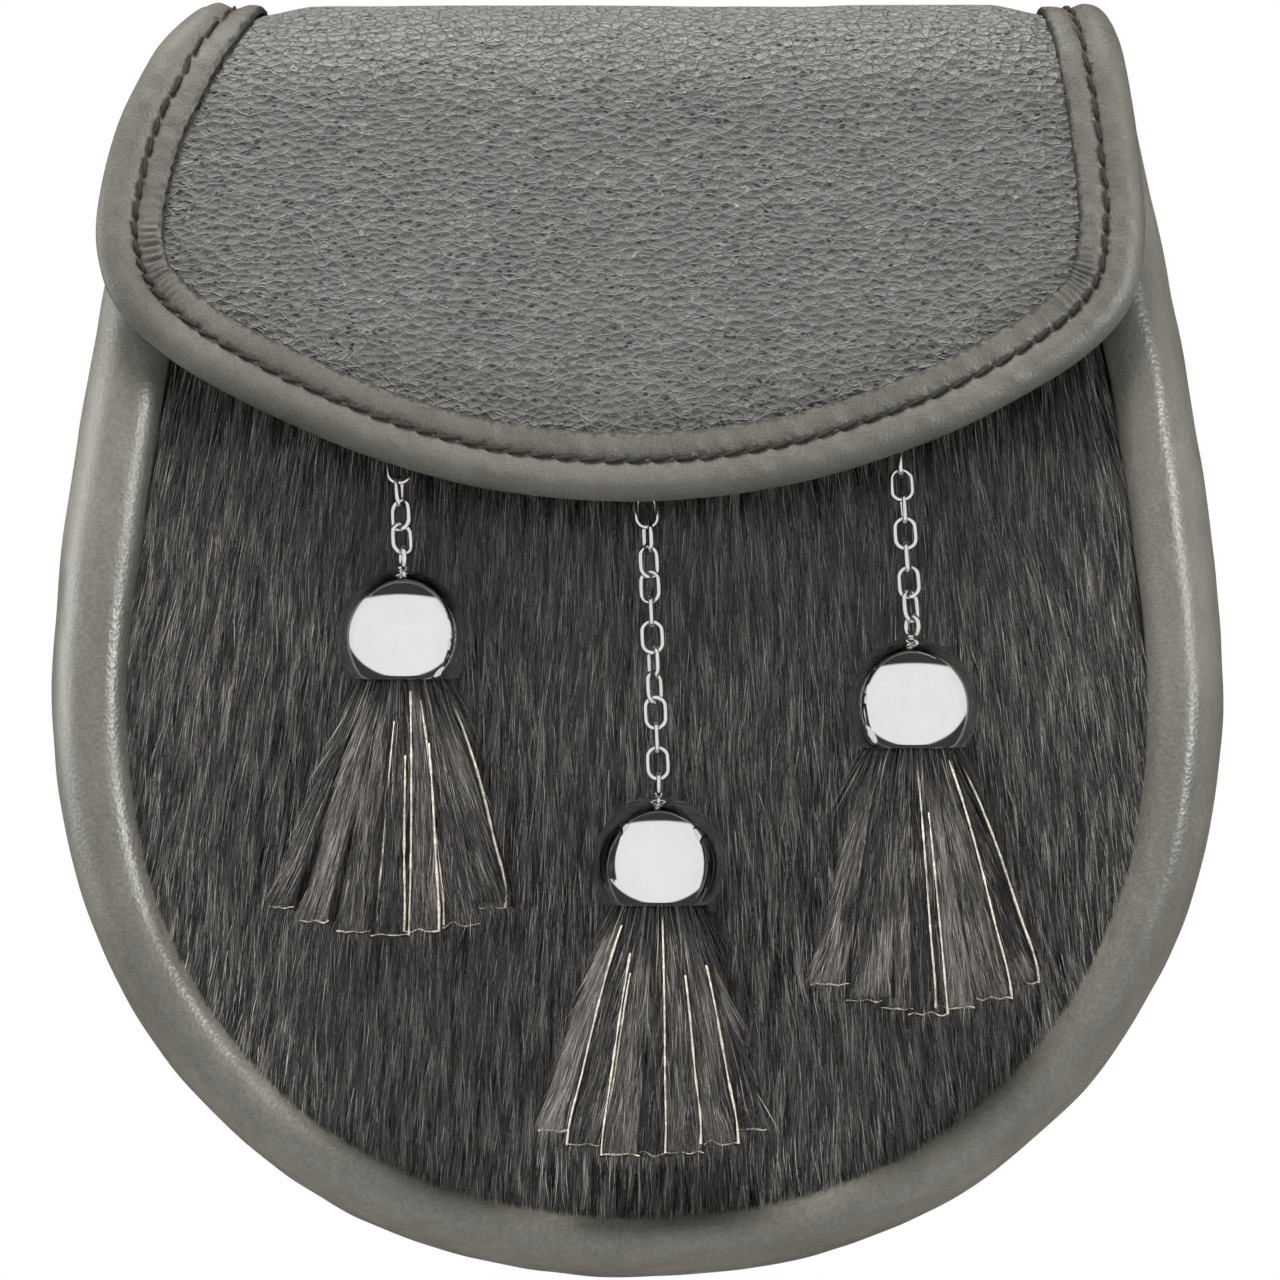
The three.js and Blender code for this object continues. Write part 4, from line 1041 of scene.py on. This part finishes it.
def soften_edges(piece, width, segments=3, angle=35):
    modifier = piece.modifiers.new("soft edges", "BEVEL")
    modifier.width = width * MM
    modifier.segments = segments
    modifier.limit_method = "ANGLE"
    modifier.angle_limit = math.radians(angle)
    bpy.context.view_layer.objects.active = piece
    bpy.ops.object.modifier_apply(modifier=modifier.name)


def smooth_faces(piece, angle=40):
    start_afresh()
    piece.select_set(True)
    bpy.context.view_layer.objects.active = piece
    bpy.ops.object.shade_smooth_by_angle(angle=math.radians(angle))


def joined(name, pieces):
    start_afresh()
    for piece in pieces:
        piece.select_set(True)
    bpy.context.view_layer.objects.active = pieces[0]
    if len(pieces) > 1:
        bpy.ops.object.join()
    pieces[0].name = name
    return pieces[0]


def set_down(mesh, right, up, front, place):
    """Moves a mesh from its own axes to a place, with its axes along the given directions."""
    columns = Matrix([[*v] for v in (right, up, front)]).transposed().to_4x4()
    mesh.transform(Matrix.Translation(Vector(place) * MM) @ columns)


def copy_of(model, name):
    piece = model.copy()
    piece.data = model.data.copy()
    piece.name = name
    bpy.context.scene.collection.objects.link(piece)
    return piece


def make_link_model():
    """A chain link: a wire ring whose two halves are drawn apart."""
    start_afresh()
    bpy.ops.mesh.primitive_torus_add(
        major_radius=(LINK_WIDTH - LINK_WIRE) / 2 * MM, minor_radius=LINK_WIRE / 2 * MM,
        major_segments=30, minor_segments=12)
    link = bpy.context.object
    apart = (LINK_LENGTH - LINK_WIDTH) / 2 * MM
    bpy.ops.object.mode_set(mode="EDIT")
    for sign in (1, -1):
        pick_points(link, lambda co: co.y * sign > 1e-7)
        bpy.ops.transform.translate(value=(0, apart * sign, 0))
    bpy.ops.object.mode_set(mode="OBJECT")
    smooth_faces(link, 80)
    return link


def make_ring(radius, wire):
    start_afresh()
    bpy.ops.mesh.primitive_torus_add(major_radius=radius * MM, minor_radius=wire / 2 * MM,
                                     major_segments=28, minor_segments=12)
    return bpy.context.object


def make_cap_model():
    """Tassel cap: a deep dome drawn in at its mouth, hollow, with a hole in its crown."""
    tuck = math.acos(CAP_MOUTH / CAP_RADIUS)
    low_reach = CAP_WAIST / math.sin(tuck)
    profile = []
    for angle in np.linspace(tuck, 0, 9)[:-1]:
        profile.append((CAP_RADIUS * math.cos(angle), CAP_WAIST - low_reach * math.sin(angle)))
    first = math.asin(CAP_HOLE / CAP_RADIUS)
    for angle in np.linspace(math.pi / 2, first, 26):
        high = CAP_WAIST + (CAP_HEIGHT - CAP_WAIST) * math.cos(angle)
        profile.append((CAP_RADIUS * math.sin(angle), high))
    cap = turned_piece("cap_model", profile, 80, closed_start=False, closed_end=False)
    wall = cap.modifiers.new("wall", "SOLIDIFY")
    wall.thickness = CAP_WALL * MM
    wall.offset = -1
    bpy.context.view_layer.objects.active = cap
    bpy.ops.object.modifier_apply(modifier=wall.name)
    soften_edges(cap, 0.22, 3, 50)
    smooth_faces(cap, 60)
    return cap


def make_eye(name, turned_by, mouth):
    """Wire ring over a cap, on a stem that a washer holds inside."""
    ring = make_ring(EYE_RADIUS, EYE_WIRE)
    upright = Matrix.Rotation(math.pi / 2, 4, "X")
    turn = Matrix.Rotation(math.radians(90 + turned_by), 4, "Z") @ upright
    ring.data.transform(Matrix.Translation((0, 0, (CAP_HEIGHT + EYE_RISE) * MM)) @ turn)
    washer_top = CAP_HEIGHT - CAP_WALL - 2 * GAP - 0.4
    collar = CAP_HEIGHT + 0.02
    stem = turned_piece(name + "_stem", [
        (EYE_WASHER, washer_top - EYE_WASHER_THICK), (EYE_WASHER, washer_top),
        (EYE_STEM, washer_top + 0.01), (EYE_STEM, collar), (EYE_STEM * 1.45, collar + 0.12),
        (EYE_STEM * 1.45, collar + 0.4), (EYE_STEM, collar + 0.55)], 20)
    piece = joined(name, [ring, stem])
    piece.data.transform(Matrix.Translation(Vector(mouth) * MM))
    smooth_faces(piece)
    return put_in_place(piece, [WIRE_METAL], ["cap_" + name[len("wire_"):]])


# ------------------------------------------------------------------ tassels and their chains
def panel_seat(x, z, reach):
    """The front panel's face near a place: where it is, the way up along it, and the way out."""
    def depth(height):
        return float(panel_depth(np.array([x, height]), reach))
    slope = (depth(z - 1) - depth(z + 1)) / 2
    up = Vector((0, slope, 1)).normalized()
    out = up.cross(Vector((1, 0, 0))).normalized()
    if out.y > 0:
        out.negate()
    return Vector((x, -depth(z), z)), up, out


def tassel_plan(x, cap_drop, chain_x, reach, links):
    """Where a tassel's cap, eye, chain and staple are."""
    cap_top = TOP - cap_drop
    eye = Vector((x, -CAP_DEPTH, cap_top + EYE_RISE))
    chain = EYE_TO_LINK + LINK_PITCH * links
    staple_z = eye.z + chain
    for _ in range(8):
        spot, _, out = panel_seat(chain_x, staple_z, reach)
        staple = spot + out * STAPLE_STAND
        staple_z -= (staple - eye).length - chain
    along = (staple - eye).normalized()
    mouth = Vector((x, -CAP_DEPTH, cap_top - CAP_HEIGHT))
    return mouth, eye, staple, along, panel_seat(chain_x, staple_z, reach)


def make_chain(side, plan, turns, link_model):
    _, eye, staple, along, (_, up, out) = plan
    square = Vector((1, 0, 0))
    square = (square - along * square.dot(along)).normalized()
    for index, turned_by in enumerate(turns):
        across = Matrix.Rotation(math.radians(turned_by), 3, along) @ square
        node = f"chain_{side}_link_{index + 1}"
        link = copy_of(link_model, f"link_{side}_{index + 1}")
        place = eye + along * (EYE_TO_LINK + LINK_PITCH * index)
        set_down(link.data, across, along, across.cross(along), place)
        put_in_place(link, [WIRE_METAL], [node])
    ring = make_ring((LINK_LENGTH - LINK_WIRE) / 2, LINK_WIRE)
    ring.data.transform(Matrix.Rotation(math.pi / 2, 4, "Y"))
    base = 2 * GAP - STAPLE_STAND
    rim = [(STAPLE_PLATE, base), (STAPLE_PLATE, base + STAPLE_PLATE_THICK)]
    plate = turned_piece("plate", rim, 28)
    soften_edges(plate, 0.2)
    plate.data.transform(Matrix.Rotation(-math.pi / 2, 4, "X"))
    piece = joined("staple_" + side, [ring, plate])
    set_down(piece.data, out.cross(up), out, up, staple)
    smooth_faces(piece)
    put_in_place(piece, [BRIGHT_METAL], ["chain_staple_" + side])


SKIRT_NECK, SKIRT_BOTTOM_DEPTH, SKIRT_LIFT = 7.2, 10, 6
STRIP_THICK, CUT_EDGE_HALF = 0.75, 0.22
skirt_width = smooth_column((0, 0.15, 0.4, 0.7, 0.93, 1), (0.03, 0.2, 0.48, 0.76, 0.98, 1.0))
skirt_depth = smooth_column((0, 0.15, 0.4, 0.7, 0.93, 1), (0.1, 0.5, 1, 1, 0.9, 0.72))


def strip_places(strip, fall, across):
    """Points of one hide strip: fall runs down it from 0 at the cap, across from -1 to 1."""
    mouth, drop, spread, lean, turn, layer, short, twist, curl, left_edge, right_edge = strip
    inside = np.clip(fall, 0, None)
    half_width = SKIRT_NECK - 1.6 + layer * 0.5 + (spread - SKIRT_NECK - 1) * skirt_width(inside)
    half_depth = SKIRT_NECK - 1.6 + layer + (SKIRT_BOTTOM_DEPTH - SKIRT_NECK) * skirt_depth(inside)
    x = half_width * math.sin(turn) + lean * inside
    y = -half_depth * math.cos(turn)
    z = -fall * (drop - short) + inside * SKIRT_LIFT * math.sin(turn) ** 2
    tangent = unit(np.array([math.cos(turn) * 2, math.sin(turn) * 1.0, 0]))
    normal = np.array([tangent[1], -tangent[0], 0])
    angle = twist * inside
    side = tangent * np.cos(angle)[..., None] + normal * np.sin(angle)[..., None]
    out = normal * np.cos(angle)[..., None] - tangent * np.sin(angle)[..., None]
    half = 1.3 + 1.85 * np.clip(inside, 0, 1) ** 0.8
    turned_up = np.where(across < 0, left_edge, right_edge) * np.abs(across) ** 7
    bow = 0.3 * (1 - across**2) + curl * inside**3 + 1.15 * turned_up * np.clip(inside / 0.2, 0, 1)
    centre = np.stack(np.broadcast_arrays(x, y, z), axis=-1) + np.array(mouth)
    return centre + side * (half * across)[..., None] + out * bow[..., None], side, out


def tassel_strips(mouth, drop, spread, lean, seed):
    draw = np.random.default_rng(seed)
    strips = []
    for facing, count, layer in ((0, FRONT_STRIPS, 0.3), (math.pi, 7, 0.0), (0, 6, -1.8)):
        for k in range(count):
            share = (k + 0.5) / count * 2 - 1
            turn = math.asin(np.clip(share * 0.985, -1, 1)) + facing
            strips.append((mouth, drop, spread, lean, turn, layer + draw.uniform(-0.9, 0.9),
                           draw.uniform(0, 0.7) + (1.2 if layer < 0 else 0), draw.normal(0, 0.34),
                           draw.normal(0, 0.8), *(draw.uniform(0, 1, 2) < 0.55)))
    return strips


def cut_edge_mesh(name, strips, draw):
    """The pale cut edges that stand up between the hairs: down the sides and along the hems."""
    points, faces, start = [], [], 0
    for strip in strips:
        lines = [(np.full(24, 0.988) + 0.006 * swell(np.linspace(-1, 1, 24)[:, None], 1.2, start),
                  np.linspace(-1, 1, 24), 0.2, True)]
        for sign, shown in ((-1, strip[-2]), (1, strip[-1])):
            if shown and draw.uniform() < 0.62:
                first = draw.uniform(0.02, 0.3)
                lines.append((np.linspace(first, 0.99, 44), np.full(44, 0.98 * sign), 0.5, False))
        for fall, across, lift, hem in lines:
            place, side_way, out = strip_places(strip, fall, across)
            place = place + out * lift
            wide = np.broadcast_to(np.array([0, 0, 1.0]), out.shape) if hem else side_way
            half = (0.09 if hem else 0.13) + 0.05 * swell(place, 3.0, len(points))
            wide, deep = wide * half[:, None], out * CUT_EDGE_HALF
            ring = [place + wide + deep, place + wide - deep, place - wide - deep,
                    place - wide + deep]
            points.append(np.stack(ring, axis=1).reshape(-1, 3))
            faces.append(tube_faces(len(place), 4) + start)
            start += len(place) * 4
    return mesh_of(name, np.vstack(points), np.vstack(faces))


def make_tassel(side, plan, drop, spread, lean, seed):
    """A bunch of hair-on hide strips hung from inside the cap, with longer hair over its neck."""
    draw = np.random.default_rng(seed + 7)
    mouth = tuple(plan[0])
    strips = tassel_strips(mouth, drop, spread, lean, seed)
    rows = 26
    shares = np.array([-1, -0.87, -0.4, 0, 0.4, 0.87, 1])
    columns = len(shares)
    down = np.concatenate([np.linspace(-0.12, 0.985, rows - 1), [1.0]])
    fall, across = np.meshgrid(down, shares, indexing="ij")
    cell_row, cell_column = [a.ravel() for a in np.indices((rows - 1, columns - 1))]
    points, faces, skin = [], [], []
    for strip in strips:
        face, _, out = strip_places(strip, fall, across)
        one = sheet_faces(rows, columns)
        faces.append(one + len(points) * rows * columns * 2)
        points.append(np.concatenate([face, face - out * STRIP_THICK]).reshape(-1, 3))
        pale = np.ones(len(one), bool)
        sides = [column for column, up in ((0, strip[-2]), (columns - 2, strip[-1])) if up]
        pale[:len(cell_row)] = (cell_row == rows - 2) | np.isin(cell_column, sides)
        skin.append(pale)
    mesh = mesh_of("strips_" + side, np.vstack(points), np.vstack(faces))
    mesh.polygons.foreach_set("material_index", np.concatenate(skin).astype(np.int32))
    piece_of("strips_" + side, mesh, [HIDE_SKIN, CUT_HIDE], ["tassel_" + side])

    edges = cut_edge_mesh("cut_edges_" + side, strips[:FRONT_STRIPS], draw)
    piece_of("cut_edges_" + side, edges, [CUT_HIDE])

    shade = 0.0 if side == "right" else 0.08
    roots, ways, normals, lengths, tones = [], [], [], [], []
    for number, strip in enumerate(strips):
        count = FRONT_STRIP_HAIRS if number < FRONT_STRIPS else OTHER_STRIP_HAIRS
        fall = draw.uniform(0, 1, count) ** 0.9 * 0.985
        across = draw.uniform(-0.84, 0.84, count)
        place, side_way, out = strip_places(strip, fall, across)
        ahead, _, _ = strip_places(strip, fall + 0.02, across)
        way = unit(ahead - place) + side_way * draw.normal(0, 0.022, count)[:, None]
        roots.append(place)
        ways.append(way)
        normals.append(out)
        stray = draw.uniform(0, 1, count) < 0.05
        way[stray] += side_way[stray] * draw.normal(0, 0.16, stray.sum())[:, None]
        room = np.maximum((1 - fall) * drop - 0.1, 0.6) + np.where(stray, 2.6, 0)
        grown = draw.uniform(*STRIP_HAIR_LENGTH, count)
        lengths.append(np.minimum(grown, room * draw.uniform(0.85, 1, count)))
        # lighter and darker patches of hair on each strip: partly the tone of the hair, partly
        # painted sheen
        lock_tone_and_sheen = 0.16 * swell(np.stack([across * 4, fall * 3], axis=1), 1.5, seed + 30 + number)
        tones.append(shade + draw.uniform(-0.08, 0.34) + lock_tone_and_sheen + draw.exponential(0.22, count))
    roots, ways, normals = np.vstack(roots), np.vstack(ways), np.vstack(normals)
    lengths, tones = np.concatenate(lengths), np.clip(np.concatenate(tones), 0, 1)
    count = len(roots)
    lifts = draw.uniform(0.1, 0.6, count) * np.clip(lengths / 7, 0.2, 1)
    mesh = hair_mesh("strip_hair_" + side, roots, ways, normals, lengths, lifts,
                     draw.uniform(*STRIP_HAIR_WIDTH, count), tones, seed + 4)
    piece_of("strip_hair_" + side, mesh, [TASSEL_HAIR])

    count = NECK_HAIRS
    turn = draw.uniform(0, 2 * math.pi, count)
    ring = np.stack([np.sin(turn), -np.cos(turn), np.zeros(count)], axis=1)
    roots = ring * draw.uniform(6.2, 7.5, count)[:, None] + (0, 0, 1.2) + np.array(mouth)
    flare = draw.uniform(0.1, 0.46, count)[:, None]
    ways = ring * (1.25, 0.45, 0) * flare + (0, 0, -1)
    tones = np.clip(0.12 + draw.exponential(0.2, count), 0, 1)
    lengths, lifts = draw.uniform(7, 15, count), draw.uniform(0.1, 0.8, count)
    mesh = hair_mesh("neck_hair_" + side, roots, ways, ring, lengths, lifts,
                     draw.uniform(*STRIP_HAIR_WIDTH, count), tones, seed + 5)
    piece_of("neck_hair_" + side, mesh, [TASSEL_HAIR])


def make_tassels():
    link_model, cap_model = make_link_model(), make_cap_model()
    for number, row in enumerate(TASSELS):
        side, x, cap_drop, fall, spread, lean, chain_x, reach, eye_turn, turns = row
        plan = tassel_plan(x, cap_drop, chain_x, reach, len(turns))
        make_chain(side, plan, turns, link_model)
        make_eye("wire_eye_" + side, eye_turn, plan[0])
        cap = copy_of(cap_model, "cap_" + side)
        cap.data.transform(Matrix.Translation(plan[0] * MM))
        put_in_place(cap, [BRIGHT_METAL], ["tassel_cap_" + side])
        make_tassel(side, plan, fall, spread, lean, 100 + 20 * number)
    for model in (link_model, cap_model):
        bpy.data.objects.remove(model)


def make_snap_stud():
    """Press stud that holds the flap to the front panel."""
    spot, up, out = panel_seat(0, STUD_Z, 0.4)
    along = along_at_drop(TOP - STUD_Z)
    flap_back = Vector(bend(np.array([0.0, along]), -FLAP_THICK / 2))
    height = (flap_back - spot).dot(out) - 2 * STUD_CLEAR
    stud = turned_piece("press_stud", [
        (STUD_RADIUS, 0), (STUD_RADIUS, STUD_RIM), (STUD_WAIST, STUD_RIM + 0.6),
        (STUD_WAIST, height - STUD_RIM - 0.6), (STUD_RADIUS, height - STUD_RIM),
        (STUD_RADIUS, height)], 48)
    soften_edges(stud, 0.25)
    stud.data.transform(Matrix.Rotation(-math.pi / 2, 4, "X"))
    set_down(stud.data, up, out, up.cross(out), spot + out * STUD_CLEAR)
    smooth_faces(stud)
    put_in_place(stud, [BRIGHT_METAL], ["snap_stud"])


# ------------------------------------------------------------------ studio
def make_floor():
    start_afresh()
    bpy.ops.mesh.primitive_circle_add(vertices=96, radius=1.2, fill_type="NGON",
                                      location=(0, 0, -0.36))
    floor = bpy.context.object
    floor.name = "floor"
    finish = Finish("pale_floor", roughness=0.8)
    finish.paint(finish.noise(finish.place(), 3), (236, 236, 236), (244, 244, 244))
    floor.data.materials.append(finish.material)
    floor.visible_glossy = False


# How bright the tent is from straight behind (0) to straight in front (1), and its dark patches
# over the top and under the front: their middles, and where their edges start and end.
TENT = ((0.0, 1.0), (0.085, 1.0), (0.11, 0.04), (0.29, 0.04), (0.32, 0.84), (0.5, 0.93),
        (1.0, 0.97))
DARK_PATCHES = (((0, 0.5, 0.866), 0.7, 0.75), ((0, 0.68, -0.733), 0.28, 0.33))
PATCH_SHADE = 0.05
TENT_FILL = 0.42


def make_world():
    """Bright tent round the front with a dark gap behind its sides, over the top and below. It
    lights matt leather and hair with only part of what bright metal mirrors."""
    world = bpy.data.worlds.new("tent")
    bpy.context.scene.world = world
    world.use_nodes = True
    tree = world.node_tree
    tree.nodes.clear()
    add, link = tree.nodes.new, tree.links.new
    way = add("ShaderNodeTexCoord").outputs["Generated"]

    def ranged(value, from_low, from_high, to_low, to_high):
        node = add("ShaderNodeMapRange")
        link(value, node.inputs["Value"])
        for key, number in (("From Min", from_low), ("From Max", from_high),
                            ("To Min", to_low), ("To Max", to_high)):
            node.inputs[key].default_value = number
        return node.outputs[0]

    parts = add("ShaderNodeSeparateXYZ")
    link(way, parts.inputs[0])
    ramp = add("ShaderNodeValToRGB")
    link(ranged(parts.outputs["Y"], 1, -1, 0, 1), ramp.inputs[0])
    while len(ramp.color_ramp.elements) < len(TENT):
        ramp.color_ramp.elements.new(0.5)
    for element, (place, value) in zip(ramp.color_ramp.elements, TENT):
        element.position = place
        element.color = (value, value, value, 1)
    brightness = ramp.outputs[0]
    for middle, first, last in DARK_PATCHES:
        facing = add("ShaderNodeVectorMath")
        facing.operation = "DOT_PRODUCT"
        link(way, facing.inputs[0])
        facing.inputs[1].default_value = middle
        darker = add("ShaderNodeMath")
        darker.operation = "MULTIPLY"
        link(brightness, darker.inputs[0])
        link(ranged(facing.outputs["Value"], first, last, 1, PATCH_SHADE), darker.inputs[1])
        brightness = darker.outputs[0]
    rays = add("ShaderNodeLightPath")
    tent, white = add("ShaderNodeBackground"), add("ShaderNodeBackground")
    link(brightness, tent.inputs["Color"])
    link(ranged(rays.outputs["Is Diffuse Ray"], 0, 1, 1, TENT_FILL), tent.inputs["Strength"])
    white.inputs["Color"].default_value = (1, 1, 1, 1)
    pick = add("ShaderNodeMixShader")
    link(rays.outputs["Is Camera Ray"], pick.inputs[0])
    link(tent.outputs[0], pick.inputs[1])
    link(white.outputs[0], pick.inputs[2])
    link(pick.outputs[0], add("ShaderNodeOutputWorld").inputs[0])


# name, place, width, height, power, colour, and whether it only gives the leather its sheen
LAMPS = (
    ("top_softbox", (-0.15, -0.35, 1.0), 0.36, 0.36, 42.0, (0.94, 0.96, 1.0), False),
    ("right_softbox", (1.1, -0.95, 0.15), 0.5, 0.5, 2.0, (1.0, 0.98, 0.95), False),
    ("left_softbox", (-1.1, -0.9, 0.25), 0.4, 0.4, 3.5, (1.0, 0.99, 0.97), False),
    ("back_left_softbox", (-1.25, 0.62, 0.1), 0.7, 0.7, 26.0, (1.0, 1.0, 1.0), False),
    ("back_right_softbox", (1.25, 0.62, 0.1), 0.7, 0.7, 32.0, (1.0, 1.0, 1.0), False),
    ("side_sheen", (1.3, -1.0, 0.12), 0.16, 0.8, 34.0, (1.0, 1.0, 0.95), True),
    ("fold_sheen", (-0.1, 0.1, 1.0), 0.7, 0.5, 6.0, (0.86, 0.92, 1.0), True),
    ("rim_sheen", (-1.2, 0.5, 0.0), 0.5, 0.7, 6.0, (0.97, 0.98, 1.0), True),
)


def make_lights():
    aim = Vector((0, -0.03, -0.055))
    leather = bpy.data.collections.new("leather")
    for piece in bpy.context.scene.objects:
        if piece.type == "MESH" and piece.name.endswith("_leather"):
            leather.objects.link(piece)
    for name, place, width, height, power, colour, sheen in LAMPS:
        data = bpy.data.lights.new(name, "AREA")
        data.shape = "RECTANGLE"
        data.size = width
        data.size_y = height
        data.energy = power
        data.color = colour
        lamp = bpy.data.objects.new(name, data)
        bpy.context.scene.collection.objects.link(lamp)
        lamp.location = place
        lamp.rotation_euler = (aim - Vector(place)).to_track_quat("-Z", "Y").to_euler()
        lamp.visible_camera = False
        lamp.visible_glossy = sheen
        lamp.visible_diffuse = not sheen
        if sheen:
            lamp.light_linking.receiver_collection = leather


CAMERA_ABOVE = 0.6
CAMERA_AWAY = 2.4
CAMERA_TARGET = (0.0004, -0.031, -0.0548)
FRAME_WIDTH = 0.2066


def make_camera():
    data = bpy.data.cameras.new("camera")
    data.sensor_width = 36
    data.lens = data.sensor_width * CAMERA_AWAY / FRAME_WIDTH
    data.clip_end = 20
    camera = bpy.data.objects.new("camera", data)
    bpy.context.scene.collection.objects.link(camera)
    target = Vector(CAMERA_TARGET)
    rise = math.radians(CAMERA_ABOVE)
    back = Vector((0, -math.cos(rise), math.sin(rise)))
    camera.location = target + back * CAMERA_AWAY
    camera.rotation_euler = (-back).to_track_quat("-Z", "Y").to_euler()
    bpy.context.scene.camera = camera


# ------------------------------------------------------------------ everything together
make_camera()
make_world()
make_gusset()
make_front_panel()
make_front_fur()
back_edge = make_back_panel()
make_flap()
make_binding()
make_binding_stitches()
loop_rows = make_belt_loop("left", -LOOP_X) + make_belt_loop("right", LOOP_X)
make_back_stitches(back_edge, loop_rows)
make_tassels()
make_snap_stud()
make_floor()
make_lights()
bpy.context.scene.view_settings.view_transform = "Standard"
bpy.context.view_layer.update()
